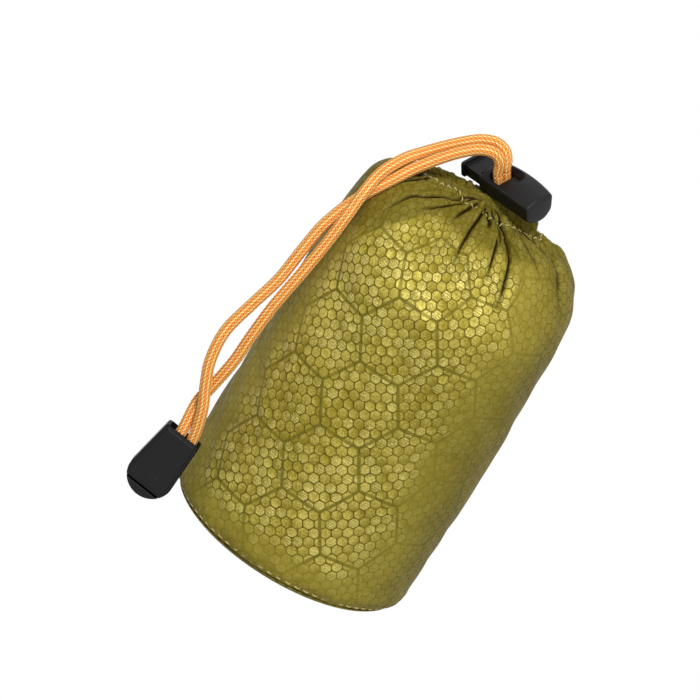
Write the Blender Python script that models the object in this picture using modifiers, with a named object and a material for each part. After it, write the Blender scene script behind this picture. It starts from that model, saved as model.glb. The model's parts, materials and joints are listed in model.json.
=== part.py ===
"""Emergency sleeping bag, rolled and packed in its own drawcord sack.

The sack stands upright on its round base, in metres, with +Z up and the origin at the centre of
the base's underside. The drawcord runs in the mouth's casing, comes up behind it through a sprung
cord lock, and its two ends hang down the -X side to a hinged end clip.
"""

import math

import bmesh
import bpy
from mathutils import Euler, Matrix, Vector

MM = 0.001
GAP = 0.3 * MM
FULL_TURN = 2.0 * math.pi

# Sack
WALL_RADIUS = 35.0 * MM
FABRIC = 0.5 * MM
BASE_CORNER = 6.4 * MM
WALL_TOP = 86.0 * MM
PANEL_TOP = 108.9 * MM
MOUTH_CENTRE = -3.0 * MM
MOUTH_HALF_LENGTH = 17.5 * MM
MOUTH_HALF_WIDTH = 4.6 * MM
SHOULDER_FULLNESS_SIDE = 2.7
SHOULDER_FULLNESS_FRONT = 1.5
PLEATS = 12
PLEAT_DEPTH = 0.8 * MM
AROUND = 60
SHOULDER_ROWS = 9
SEAM_GAP_ANGLE = math.radians(1.5)

# Seams of the sack
BINDING = 0.4 * MM
BINDING_HALF_ANGLE = math.radians(22.0)
BASE_THREAD = 0.25 * MM
SIDE_THREAD = 0.15 * MM
CASING_THREAD = 0.35 * MM
SIDE_TAPE_WIDTH = 8.0 * MM
SIDE_SEAM_BOTTOM = 8.0 * MM
SIDE_SEAM_TOP = 84.0 * MM

# Mouth casing, a loop of tube that the drawcord runs in
CORD_RADIUS = 1.6 * MM
PINCHED_RADIUS = 1.3 * MM
CORD_RECOVERY = 4.5 * MM
CASING_INNER = CORD_RADIUS + GAP
CASING_OUTER = CASING_INNER + 0.4 * MM
LOOP_HALF_LENGTH = 14.5 * MM
LOOP_HALF_WIDTH = 4.2 * MM
LOOP_HEIGHT = PANEL_TOP + GAP + CASING_OUTER
HEM_DROP = 2.5 * MM
MOUTH_SETBACK = LOOP_HALF_LENGTH + LOOP_HALF_WIDTH - MOUTH_HALF_LENGTH
EXIT_LEFT = -3.0 * MM
EXIT_RIGHT = 8.6 * MM
EXIT_SILL = LOOP_HEIGHT - GAP
CASING_SEAM_ANGLE = math.radians(38.0)

# Rolled bag inside the sack
ROLL_CORE = 4.0 * MM
ROLL_TURNS = 7
ROLL_PLY = 3.6 * MM
ROLL_BOTTOM = FABRIC + 3.0 * GAP
ROLL_STEPS_PER_TURN = 26
ROLL_TOP_CLEARANCE = 2.2 * MM
ROLL_SIDE_CLEARANCE = 0.8 * MM

# Cord lock, placed by the corner of its body and three turns
LOCK_CORNER = Vector((-7.3 * MM, -0.8 * MM, LOOP_HEIGHT + 6.4 * MM))
LOCK_ROLL = math.radians(31.9)
LOCK_PITCH = math.radians(9.9)
LOCK_YAW = math.radians(-36.4)
LOCK_LENGTH = 19.7 * MM
LOCK_WIDTH = 9.1 * MM
LOCK_CROWN = 0.9 * MM
LOCK_DEPTH = 6.3 * MM
LOCK_EDGE = 0.45 * MM
LOCK_WALL = 0.8 * MM
LOCK_END_WALL = 1.2 * MM
LOCK_LIP = 2.0 * MM
CAVITY_TOP = -0.5 * MM
CAVITY_BOTTOM = -4.1 * MM
PLUNGER_CLEARANCE = 0.2 * MM
PLUNGER_END = 9.5 * MM
PLUNGER_TRAVEL = 4.0 * MM
FLANGE_THICKNESS = 1.5 * MM
FLANGE_REACH = 6.6 * MM
CORD_STATION = 4.2 * MM
CORD_PITCH = 2.8 * MM
HOLE_NEAR = 2.6 * MM
HOLE_FAR = 9.0 * MM
HOLE_WIDTH = 5.9 * MM
SLOT_GRIP = 0.25 * MM
SPRING_RADIUS = 1.4 * MM
SPRING_WIRE = 0.22 * MM
SPRING_TURNS = 6
SPRING_STEPS_PER_TURN = 10

# End clip, placed by the centre of its round end
CLIP_CENTRE = Vector((-39.6 * MM, -27.9 * MM, 7.0 * MM))
CLIP_LEAN = math.radians(7.0)
CLIP_TOP_WIDTH = 10.8 * MM
CLIP_ROUND = 6.6 * MM
CLIP_TOP = 14.7 * MM
CLIP_THICKNESS = 5.2 * MM
CLIP_SPLIT = -3.7 * MM
CLIP_WALL = 1.0 * MM
CLIP_FACE = 0.7 * MM
CLIP_EDGE = 0.5 * MM
KNOT_HALF_WIDTH = 4.1 * MM
KNOT_HALF_HEIGHT = 2.7 * MM
KNOT_HALF_DEPTH = 1.6 * MM
KNOT_HEIGHT = 0.8 * MM
CLIP_CORD_OUTER = -1.0 * MM
CLIP_CORD_INNER = 2.6 * MM
CLIP_CORD_HALF_PITCH = 1.8 * MM

# Routes of the cord's two free ends between the lock and the clip, in millimetres
OUTER_ROUTE_MM = [
    (-3.3, 0.4, 125.7),
    (-5.2, 0.6, 127.5),
    (-7.9, 0.6, 128.1),
    (-10.9, 0.4, 127.1),
    (-13.8, -0.1, 125.2),
    (-18.5, -1.7, 121.1),
    (-23.2, -4.3, 116.7),
    (-26.8, -7.5, 113.2),
    (-29.9, -12.1, 108.2),
    (-31.1, -16.3, 102.2),
    (-31.6, -18.9, 95.4),
    (-32.3, -20.3, 86.8),
    (-33.8, -21.7, 75.6),
    (-35.6, -22.9, 63.6),
    (-36.4, -23.5, 53.2),
    (-36.8, -23.7, 45.0),
    (-38.3, -24.2, 35.6),
    (-39.4, -25.4, 30.0),
]
INNER_ROUTE_MM = [
    (-4.3, -2.5, 124.7),
    (-5.8, -3.2, 126.4),
    (-7.9, -3.7, 126.8),
    (-10.3, -4.2, 126.1),
    (-12.9, -4.6, 124.3),
    (-17.1, -5.6, 120.1),
    (-22.4, -7.5, 113.5),
    (-26.2, -10.0, 107.8),
    (-30.6, -13.1, 101.0),
    (-33.4, -15.7, 95.7),
    (-35.8, -18.1, 88.6),
    (-37.0, -19.8, 80.3),
    (-38.2, -21.7, 70.7),
    (-40.7, -23.7, 61.5),
    (-43.0, -26.2, 52.0),
    (-42.3, -27.9, 43.4),
    (-39.9, -28.4, 36.7),
    (-37.1, -28.7, 30.3),
]
# The run's two ways up from the hem to the lock, from the middle of the hem's back side
RISER_LEFT_MM = [(1.0, -2.0, 2.0), (1.0, -1.4, 1.3), (0.5, -0.7, 0.6), (-0.6, -0.2, 0.2)]
RISER_RIGHT_MM = [(6.9, 0.1, -0.1), (4.9, 0.5, 0.8), (3.8, 0.7, 1.9), (2.7, 0.2, 3.1)]
RISER_LEFT_FOOT = -2.6 * MM
RISER_RIGHT_FOOT = 9.2 * MM
# Heights along the two ways inside the clip
CLIP_CORD_ENTRY = 14.7 * MM
CLIP_CORD_END = 3.9 * MM

PARTS = "emergency_sleeping_bag"
CUTTERS = "cutters"


def clear_scene():
    for found in list(bpy.data.objects):
        bpy.data.objects.remove(found, do_unlink=True)
    for found in list(bpy.data.collections):
        bpy.data.collections.remove(found)
    for name in (PARTS, CUTTERS):
        bpy.context.scene.collection.children.link(bpy.data.collections.new(name))


def material(name, colour, roughness, metallic=0.0):
    made = bpy.data.materials.new(name)
    made.use_nodes = True
    shader = made.node_tree.nodes["Principled BSDF"]
    shader.inputs["Base Color"].default_value = (*colour, 1.0)
    shader.inputs["Roughness"].default_value = roughness
    shader.inputs["Metallic"].default_value = metallic
    made.diffuse_color = (*colour, 1.0)
    return made


def place(made, name, finish, frame=None):
    """Name the object, give it its finish and frame, and file it with the parts or the cutters."""
    made.name = name
    made.data.name = name
    for owner in list(made.users_collection):
        owner.objects.unlink(made)
    if finish is None:
        bpy.data.collections[CUTTERS].objects.link(made)
        made.hide_render = True
        made.display_type = "WIRE"
    else:
        bpy.data.collections[PARTS].objects.link(made)
        made.data.materials.clear()
        made.data.materials.append(finish)
    if frame is not None:
        made.matrix_world = frame
    return made


def from_faces(name, points, faces, finish, frame=None):
    mesh = bpy.data.meshes.new(name)
    mesh.from_pydata([tuple(point) for point in points], [], faces)
    return place(bpy.data.objects.new(name, mesh), name, finish, frame)


def curve(name, points, radius, resolution=2, radii=None, cyclic=False):
    """A round tube along the points, as a curve object; radii taper it."""
    data = bpy.data.curves.new(name, "CURVE")
    data.dimensions = "3D"
    data.bevel_depth = radius
    data.bevel_resolution = resolution
    data.use_fill_caps = not cyclic
    spline = data.splines.new("POLY")
    spline.points.add(len(points) - 1)
    for index, (point, place_on) in enumerate(zip(spline.points, points)):
        point.co = (*place_on, 1.0)
        point.radius = 1.0 if radii is None else radii[index] / radius
    spline.use_cyclic_u = cyclic
    spline.use_smooth = True
    return bpy.data.objects.new(name, data)


def as_mesh(drawn):
    """The curve object made a mesh object with its caps welded."""
    bpy.context.scene.collection.objects.link(drawn)
    bpy.context.view_layer.update()
    evaluated = drawn.evaluated_get(bpy.context.evaluated_depsgraph_get())
    mesh = bpy.data.meshes.new_from_object(evaluated)
    welded = bmesh.new()
    welded.from_mesh(mesh)
    bmesh.ops.remove_doubles(welded, verts=welded.verts, dist=0.001 * MM)
    bmesh.ops.recalc_face_normals(welded, faces=welded.faces)
    welded.to_mesh(mesh)
    welded.free()
    made = bpy.data.objects.new(drawn.name, mesh)
    made.matrix_world = drawn.matrix_world
    bpy.data.objects.remove(drawn, do_unlink=True)
    return made


def outline_solid(name, outline, low, high, finish, frame=None):
    """A flat outline in the local XY plane, extruded from low to high along local Z."""
    data = bpy.data.curves.new(name, "CURVE")
    data.dimensions = "2D"
    data.fill_mode = "BOTH"
    data.extrude = (high - low) / 2.0
    spline = data.splines.new("POLY")
    spline.points.add(len(outline) - 1)
    for point, (across, along) in zip(spline.points, outline):
        point.co = (across, along, 0.0, 1.0)
    spline.use_cyclic_u = True
    made = as_mesh(bpy.data.objects.new(name, data))
    made.data.transform(Matrix.Translation((0.0, 0.0, (high + low) / 2.0)))
    return place(made, name, finish, frame)


def box(name, low, high, finish, frame=None):
    bpy.ops.mesh.primitive_cube_add(size=1.0)
    made = bpy.context.object
    size = Vector(high) - Vector(low)
    middle = (Vector(high) + Vector(low)) / 2.0
    made.data.transform(Matrix.Translation(middle) @ Matrix.Diagonal((*size, 1.0)))
    return place(made, name, finish, frame)


def bevel(made, width, segments=2, angle=math.radians(40.0)):
    modifier = made.modifiers.new("rounded_edges", "BEVEL")
    modifier.width = width
    modifier.segments = segments
    modifier.limit_method = "ANGLE"
    modifier.angle_limit = angle


def boolean(made, other, operation="DIFFERENCE"):
    modifier = made.modifiers.new(other.name, "BOOLEAN")
    modifier.operation = operation
    modifier.solver = "EXACT"
    modifier.object = other


def shade(made, angle=math.radians(35.0)):
    made.data.shade_smooth()
    made.data.set_sharp_from_angle(angle=angle)


def turned(name, profile, finish, closed=False, steps=AROUND):
    """A profile of (radius, height) points turned about Z."""
    edges = [(index, index + 1) for index in range(len(profile) - 1)]
    if closed:
        edges.append((len(profile) - 1, 0))
    mesh = bpy.data.meshes.new(name)
    mesh.from_pydata([(radius, 0.0, height) for radius, height in profile], edges, [])
    made = place(bpy.data.objects.new(name, mesh), name, finish)
    modifier = made.modifiers.new("turn", "SCREW")
    modifier.steps = steps
    modifier.render_steps = steps
    modifier.use_merge_vertices = True
    modifier.merge_threshold = 0.001 * MM
    modifier.use_smooth_shade = True
    return made


def arc(centre, radius, start, end, pieces):
    """Points on an arc of a (radius, height) profile or a flat outline, from start to end."""
    return [
        (
            centre[0] + radius * math.cos(start + (end - start) * step / pieces),
            centre[1] + radius * math.sin(start + (end - start) * step / pieces),
        )
        for step in range(pieces + 1)
    ]


def smooth_route(route, per_span):
    """A smooth curve through the route's points, read per_span times in each span."""
    ends = [2 * route[0] - route[1]] + list(route) + [2 * route[-1] - route[-2]]
    read = []
    for index in range(1, len(ends) - 2):
        before, here, there, after = ends[index - 1 : index + 3]
        for step in range(per_span):
            t = step / per_span
            read.append(
                0.5
                * (
                    2 * here
                    + (there - before) * t
                    + (2 * before - 5 * here + 4 * there - after) * t * t
                    + (3 * here - before - 3 * there + after) * t * t * t
                )
            )
    read.append(route[-1])
    return read


def stadium(turn, half_length, half_width):
    """The point on a stadium at a share of its way round, a quarter of the way in each quadrant."""
    quarter = math.atan2(abs(math.sin(turn)), abs(math.cos(turn))) / (math.pi / 2.0)
    straight = half_length - half_width
    bend = math.pi / 2.0 * half_width
    way = quarter * (bend + straight)
    if way < bend:
        across = straight + half_width * math.cos(way / half_width)
        along = half_width * math.sin(way / half_width)
    else:
        across = straight - (way - bend)
        along = half_width
    return math.copysign(across, math.cos(turn)), math.copysign(along, math.sin(turn))


def hem_drop(across):
    """How far the mouth and its hem sink towards the ends of the slit."""
    share = min(1.0, abs(across - MOUTH_CENTRE) / (LOOP_HALF_LENGTH + LOOP_HALF_WIDTH))
    return HEM_DROP * share**2


def shoulder_point(turn, climb):
    """The sack's outer surface above the wall: climb runs from 0 at the wall to pi/2 at the mouth."""
    fullness = SHOULDER_FULLNESS_SIDE
    fullness += (SHOULDER_FULLNESS_FRONT - SHOULDER_FULLNESS_SIDE) * math.sin(turn) ** 2
    inward = 1.0 - max(0.0, math.cos(climb)) ** (2.0 / fullness)
    rise = math.sin(climb) ** (2.0 / fullness)
    mouth = stadium(turn, MOUTH_HALF_LENGTH, MOUTH_HALF_WIDTH)
    pleat = PLEAT_DEPTH / 2.0 * (1.0 - math.cos(PLEATS * turn)) * math.sin(2.0 * climb)
    wall = WALL_RADIUS - pleat
    top = PANEL_TOP - hem_drop(MOUTH_CENTRE + abs(mouth[0]) + MOUTH_SETBACK)
    return Vector(
        (
            wall * math.cos(turn) * (1.0 - inward) + (MOUTH_CENTRE + mouth[0]) * inward,
            wall * math.sin(turn) * (1.0 - inward) + mouth[1] * inward,
            WALL_TOP + (top - WALL_TOP) * rise,
        )
    )


def base_corner(distance, start, end, pieces):
    """An arc about the base's rounded corner, in (radius, height), by angles below the horizontal."""
    centre = (WALL_RADIUS - BASE_CORNER, BASE_CORNER)
    return arc(centre, distance, -start, -end, pieces)


def make_base_panel(finish):
    seam = math.radians(45.0) + SEAM_GAP_ANGLE
    inner = base_corner(BASE_CORNER - FABRIC, seam, math.pi / 2.0, 3)
    outer = base_corner(BASE_CORNER, seam, math.pi / 2.0, 3)
    profile = [(0.0, FABRIC)] + list(reversed(inner)) + outer + [(0.0, 0.0)]
    turned("base_panel", profile, finish)


def make_side_panel(finish):
    """The wall, from the base seam up to the gathered mouth, as one open surface with thickness."""
    seam = math.radians(45.0) - SEAM_GAP_ANGLE
    rows = []
    for radius, height in base_corner(BASE_CORNER, seam, 0.0, 3):
        rows.append([
            Vector((radius * math.cos(turn), radius * math.sin(turn), height))
            for turn in around()
        ])
    for step in range(SHOULDER_ROWS + 1):
        climb = math.pi / 2.0 * step / SHOULDER_ROWS
        rows.append([shoulder_point(turn, climb) for turn in around()])
    points = [point for row in rows for point in row]
    faces = []
    for row in range(len(rows) - 1):
        for column in range(AROUND):
            beside = (column + 1) % AROUND
            low = row * AROUND
            high = low + AROUND
            faces.append((low + column, low + beside, high + beside, high + column))
    made = from_faces("side_panel", points, faces, finish)
    thickness = made.modifiers.new("fabric", "SOLIDIFY")
    thickness.thickness = FABRIC
    thickness.offset = -1.0
    shade(made)


def around():
    return [FULL_TURN * step / AROUND for step in range(AROUND)]


def make_base_seam(binding_finish, thread_finish):
    middle = math.radians(45.0)
    low = middle - BINDING_HALF_ANGLE
    high = middle + BINDING_HALF_ANGLE
    outside = BASE_CORNER - FABRIC - GAP
    outer = base_corner(outside, low, high, 2)
    inner = base_corner(outside - BINDING, high, low, 2)
    turned("base_seam_binding", outer + inner, binding_finish, closed=True)
    reach = BASE_CORNER + 0.2 * MM + BASE_THREAD
    bpy.ops.mesh.primitive_torus_add(
        major_radius=WALL_RADIUS - BASE_CORNER + reach * math.cos(middle),
        minor_radius=BASE_THREAD,
        major_segments=AROUND,
        minor_segments=6,
    )
    made = place(bpy.context.object, "base_stitching", thread_finish)
    made.location = (0.0, 0.0, BASE_CORNER - reach * math.sin(middle))
    shade(made)


def make_side_seam(tape_finish, thread_finish):
    """The wall's seam up the back: a tape inside and a row of stitching outside."""
    outside = WALL_RADIUS - FABRIC - GAP
    half = SIDE_TAPE_WIDTH / 2.0 / outside
    back = math.pi / 2.0
    outer = arc((0.0, 0.0), outside, back - half, back + half, 3)
    inner = arc((0.0, 0.0), outside - BINDING, back + half, back - half, 3)
    outline_solid(
        "side_seam_tape", outer + inner, SIDE_SEAM_BOTTOM, SIDE_SEAM_TOP, tape_finish
    )
    standing = WALL_RADIUS + 0.2 * MM + SIDE_THREAD
    line = [Vector((0.0, standing, SIDE_SEAM_BOTTOM)), Vector((0.0, standing, SIDE_SEAM_TOP))]
    place(curve("side_seam_stitching", line, SIDE_THREAD), "side_seam_stitching", thread_finish)


def bend_points(side, half_length, half_width, height, pieces=9):
    """The half circle at one end of the arched stadium, anticlockwise seen from above."""
    start = -math.pi / 2.0 if side > 0 else math.pi / 2.0
    centre = (MOUTH_CENTRE + side * half_length, 0.0)
    half_circle = arc(centre, half_width, start, start + math.pi, pieces)
    return [arched(across, along, height) for across, along in half_circle]


def straight_points(start, end, along, height, pieces=6):
    """The points between, but not at, two places across a straight side of the arched stadium."""
    return [
        arched(start + (end - start) * step / pieces, along, height) for step in range(1, pieces)
    ]


def arched(across, along, height):
    return Vector((across, along, height - hem_drop(across)))


def loop_points(length, width, height):
    left = MOUTH_CENTRE - length
    right = MOUTH_CENTRE + length
    return (
        bend_points(1, length, width, height)
        + straight_points(right, left, width, height)
        + bend_points(-1, length, width, height)
        + straight_points(left, right, -width, height)
    )


def make_mouth_casing(finish, thread_finish):
    loop = loop_points(LOOP_HALF_LENGTH, LOOP_HALF_WIDTH, LOOP_HEIGHT)
    outer = as_mesh(curve("mouth_casing", loop, CASING_OUTER, 4, cyclic=True))
    made = place(outer, "mouth_casing", finish)
    bore = place(as_mesh(curve("casing_bore", loop, CASING_INNER, 4, cyclic=True)), "casing_bore", None)
    exit_low = (EXIT_LEFT, 0.0, EXIT_SILL)
    exit_high = (EXIT_RIGHT, LOOP_HALF_WIDTH + 2.0 * CASING_OUTER, LOOP_HEIGHT + 2.0 * CASING_OUTER)
    boolean(made, bore)
    boolean(made, box("casing_exit", exit_low, exit_high, None))
    shade(made)

    standing = CASING_OUTER + GAP + CASING_THREAD
    seam = loop_points(
        LOOP_HALF_LENGTH,
        LOOP_HALF_WIDTH + standing * math.cos(CASING_SEAM_ANGLE),
        LOOP_HEIGHT - standing * math.sin(CASING_SEAM_ANGLE),
    )
    line = as_mesh(curve("casing_stitching", seam, CASING_THREAD, 2, cyclic=True))
    shade(place(line, "casing_stitching", thread_finish))


def roof_height(across, along):
    """The height of the sack's shoulder over a point inside it, from its nearest sampled place."""
    best = None
    for turn in around():
        for step in range(2 * SHOULDER_ROWS + 1):
            place_on = shoulder_point(turn, math.pi / 4.0 * step / SHOULDER_ROWS)
            off = (place_on.x - across) ** 2 + (place_on.y - along) ** 2
            if best is None or off < best[0]:
                best = (off, place_on.z)
    return best[1]


def make_roll(finish):
    """The folded bag, rolled up: one thick ply in a spiral, with its top under the shoulder."""
    outside = WALL_RADIUS - FABRIC - GAP - BINDING - ROLL_SIDE_CLEARANCE
    pitch = (outside - ROLL_CORE) / ROLL_TURNS
    steps = ROLL_TURNS * ROLL_STEPS_PER_TURN
    points = []
    for step in range(steps + 1):
        turn = FULL_TURN * step / ROLL_STEPS_PER_TURN
        radius = ROLL_CORE + pitch * turn / FULL_TURN
        across = radius * math.cos(turn)
        along = radius * math.sin(turn)
        wider = 1.0 + 1.5 * MM / radius
        top = roof_height(across * wider, along * wider) - ROLL_TOP_CLEARANCE
        low = ROLL_BOTTOM + max(0.0, radius - (WALL_RADIUS - 2.0 * BASE_CORNER))
        points.append(Vector((across, along, low)))
        points.append(Vector((across, along, top)))
    faces = [
        (2 * step, 2 * step + 2, 2 * step + 3, 2 * step + 1) for step in range(steps)
    ]
    made = from_faces("sleeping_bag_roll", points, faces, finish)
    ply = made.modifiers.new("ply", "SOLIDIFY")
    ply.thickness = ROLL_PLY
    ply.offset = -1.0
    shade(made)


def lock_frame():
    turn = Euler((LOCK_ROLL, -LOCK_PITCH, LOCK_YAW)).to_matrix().to_4x4()
    return Matrix.Translation(LOCK_CORNER) @ turn


def lock_across(side):
    """Where a cord stands across the lock: side -1 nearer the ridge, 1 farther."""
    return LOCK_WIDTH / 2.0 + side * CORD_PITCH / 2.0


def lock_section():
    """The lock body's outline across its length, in (across, up), anticlockwise."""
    crown = []
    for step in range(7):
        share = step / 6.0
        up = LOCK_CROWN * math.sin(math.pi * share) + 0.2 * MM * share
        crown.append((LOCK_WIDTH * share, up))
    under = [
        (0.0, -4.4 * MM),
        (2.8 * MM, -LOCK_DEPTH),
        (6.2 * MM, -LOCK_DEPTH),
        (8.7 * MM, -4.2 * MM),
    ]
    return under + list(reversed(crown))


def along_lock(made):
    """Turn a solid extruded along local Z so that it runs along the lock, its outline standing up."""
    made.data.transform(Matrix(((0, 0, 1, 0), (1, 0, 0, 0), (0, 1, 0, 0), (0, 0, 0, 1))))
    return made


def make_cord_lock(body_finish, plunger_finish, spring_finish):
    frame = lock_frame()
    made = along_lock(
        outline_solid("cord_lock_body", lock_section(), 0.0, LOCK_LENGTH, body_finish, frame)
    )
    lip = box(
        "lock_lip",
        (-LOCK_LIP, 1.4 * MM, CAVITY_BOTTOM - 1.1 * MM),
        (1.0 * MM, LOCK_WIDTH - 1.4 * MM, CAVITY_BOTTOM - 0.1 * MM),
        None,
        frame,
    )
    cavity = box(
        "lock_cavity",
        (-1.0 * MM, LOCK_WALL, CAVITY_BOTTOM),
        (LOCK_LENGTH - LOCK_END_WALL, LOCK_WIDTH - LOCK_WALL, CAVITY_TOP),
        None,
        frame,
    )
    side = (LOCK_WIDTH - HOLE_WIDTH) / 2.0
    hole = box(
        "lock_hole",
        (HOLE_NEAR, side, -LOCK_DEPTH - 1.0 * MM),
        (HOLE_FAR, LOCK_WIDTH - side, LOCK_CROWN + 1.0 * MM),
        None,
        frame,
    )
    bevel(hole, 1.2 * MM, 3)
    bevel(made, LOCK_EDGE)
    boolean(made, lip, "UNION")
    boolean(made, cavity)
    boolean(made, hole)
    shade(made)

    make_plunger(plunger_finish, frame)
    make_spring(spring_finish, frame)


def make_plunger(finish, frame):
    """The button: a flange to press, and a slotted shaft, with its origin on the sliding axis."""
    middle_across = LOCK_WIDTH / 2.0
    middle_up = (CAVITY_TOP + CAVITY_BOTTOM) / 2.0
    axis = Vector((0.0, middle_across, middle_up))
    half_width = LOCK_WIDTH / 2.0 - LOCK_WALL - PLUNGER_CLEARANCE
    half_depth = (CAVITY_TOP - CAVITY_BOTTOM) / 2.0 - PLUNGER_CLEARANCE
    here = frame @ Matrix.Translation(axis)
    flange_end = -FLANGE_REACH - FLANGE_THICKNESS
    made = box(
        "cord_lock_plunger",
        (flange_end, 0.2 * MM - middle_across, -2.2 * MM),
        (-FLANGE_REACH, middle_across - 0.2 * MM, 2.5 * MM),
        finish,
        here,
    )
    bevel(made, 0.4 * MM)
    shaft = box(
        "plunger_shaft",
        (-FLANGE_REACH - 0.8 * MM, -half_width, -half_depth),
        (PLUNGER_END, half_width, half_depth),
        None,
        here,
    )
    slot_end = CORD_STATION + PINCHED_RADIUS + SLOT_GRIP
    slot_start = CORD_STATION - PINCHED_RADIUS - PLUNGER_TRAVEL - SLOT_GRIP
    slot = box(
        "plunger_slot",
        (slot_start, -HOLE_WIDTH / 2.0, -LOCK_DEPTH),
        (slot_end, HOLE_WIDTH / 2.0, LOCK_DEPTH),
        None,
        here,
    )
    bevel(slot, 0.6 * MM, 2)
    boolean(made, shaft, "UNION")
    boolean(made, slot)
    shade(made)


def make_spring(finish, frame):
    """The coil between the plunger and the closed end of the cavity, along the sliding axis."""
    start = PLUNGER_END + GAP + SPRING_WIRE
    end = LOCK_LENGTH - LOCK_END_WALL - GAP - SPRING_WIRE
    middle = (CAVITY_TOP + CAVITY_BOTTOM) / 2.0
    steps = SPRING_TURNS * SPRING_STEPS_PER_TURN
    points = []
    for step in range(steps + 1):
        turn = FULL_TURN * step / SPRING_STEPS_PER_TURN
        points.append(Vector((
            start + (end - start) * step / steps,
            LOCK_WIDTH / 2.0 + SPRING_RADIUS * math.cos(turn),
            middle + SPRING_RADIUS * math.sin(turn),
        )))
    place(curve("cord_lock_spring", points, SPRING_WIRE), "cord_lock_spring", finish, frame)


def clip_frame():
    """Local X across the clip, Y up it and Z out of its cover."""
    turn = Euler((math.pi / 2.0, CLIP_LEAN, 0.0)).to_matrix().to_4x4()
    return Matrix.Translation(CLIP_CENTRE) @ turn


def clip_outline(inset, bottom=None):
    """The clip's front outline, inset all round, from the top left corner anticlockwise.

    With bottom given, the outline ends in a straight edge there instead of the round end.
    """
    half_top = CLIP_TOP_WIDTH / 2.0 - inset
    radius = CLIP_ROUND - inset
    if bottom is None:
        end = arc((0.0, 0.0), radius, math.pi, FULL_TURN, 16)
    else:
        reach = math.asin(min(0.0, bottom) / radius)
        left = arc((0.0, 0.0), radius, math.pi, math.pi - reach, 4)
        right = arc((0.0, 0.0), radius, reach, 0.0, 4)
        end = left + right
    return [(-half_top, CLIP_TOP)] + end + [(half_top, CLIP_TOP)]


def end_outline():
    """The clip's full-thickness end below the split, a slice of the round."""
    top = CLIP_SPLIT - GAP
    reach = math.asin(top / CLIP_ROUND)
    return arc((0.0, 0.0), CLIP_ROUND, math.pi - reach, FULL_TURN + reach, 12)


def make_clip(base_finish, cover_finish, knot_finish):
    frame = clip_frame()
    half = CLIP_THICKNESS / 2.0
    made = outline_solid("clip_base", clip_outline(0.0), -half, -GAP / 2.0, base_finish, frame)
    end = outline_solid("clip_end", end_outline(), -half + CLIP_FACE, half, None, frame)
    hollow_outline = [(x, y + 2.0 * GAP) for x, y in clip_outline(CLIP_WALL, CLIP_SPLIT + CLIP_WALL)]
    hollow_outline[0] = (hollow_outline[0][0], CLIP_TOP + CLIP_WALL)
    hollow_outline[-1] = (hollow_outline[-1][0], CLIP_TOP + CLIP_WALL)
    hollow = outline_solid(
        "clip_hollow", hollow_outline, -half + CLIP_FACE, half - CLIP_FACE, None, frame
    )
    boolean(made, end, "UNION")
    boolean(made, hollow)
    bevel(made, CLIP_EDGE, 2, math.radians(60.0))
    shade(made)

    hinge = Vector((0.0, CLIP_SPLIT, half))
    hinge_frame = frame @ Matrix.Translation(hinge)
    cover_outline = [(x, y - hinge.y) for x, y in clip_outline(0.0, CLIP_SPLIT)]
    cover = outline_solid(
        "clip_cover", cover_outline, GAP / 2.0 - half, 0.0, cover_finish, hinge_frame
    )
    boolean(cover, hollow)
    bevel(cover, CLIP_EDGE, 2, math.radians(60.0))
    shade(cover)

    bpy.ops.mesh.primitive_uv_sphere_add(segments=16, ring_count=8, radius=1.0)
    knot = bpy.context.object
    shape = Matrix.Diagonal((KNOT_HALF_WIDTH, KNOT_HALF_HEIGHT, KNOT_HALF_DEPTH, 1.0))
    knot.data.transform(Matrix.Translation((0.0, KNOT_HEIGHT, 0.0)) @ shape)
    shade(place(knot, "cord_end_knot", knot_finish, frame))


def lock_point(side, up):
    """A point on a cord's way through the lock."""
    return lock_frame() @ Vector((CORD_STATION, lock_across(side), up))


def clip_point(across, height):
    return clip_frame() @ Vector((across, height, 0.0))


def recovered_radius(way):
    """The cord's radius at a distance from where the lock pinches it."""
    return PINCHED_RADIUS + (CORD_RADIUS - PINCHED_RADIUS) * min(1.0, way / CORD_RECOVERY)


def make_free_end(name, side, route_mm, across, finish):
    """One free end of the drawcord, from the lock's top face to the knot in the clip."""
    start = LOCK_CROWN + 2.0 * GAP
    route = [lock_point(side, start), lock_point(side, start + CORD_RADIUS / 2.0)]
    route += [Vector(point) * MM for point in route_mm]
    across_end = math.copysign(CLIP_CORD_HALF_PITCH, across)
    for share in (0.0, 0.45, 1.0):
        height = CLIP_CORD_ENTRY + (CLIP_CORD_END - CLIP_CORD_ENTRY) * share
        route.append(clip_point(across + (across_end - across) * share, height))
    points = smooth_route(route, 2)
    radii = [recovered_radius((point - points[0]).length) for point in points]
    place(curve(name, points, CORD_RADIUS, 2, radii), name, finish)


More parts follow.
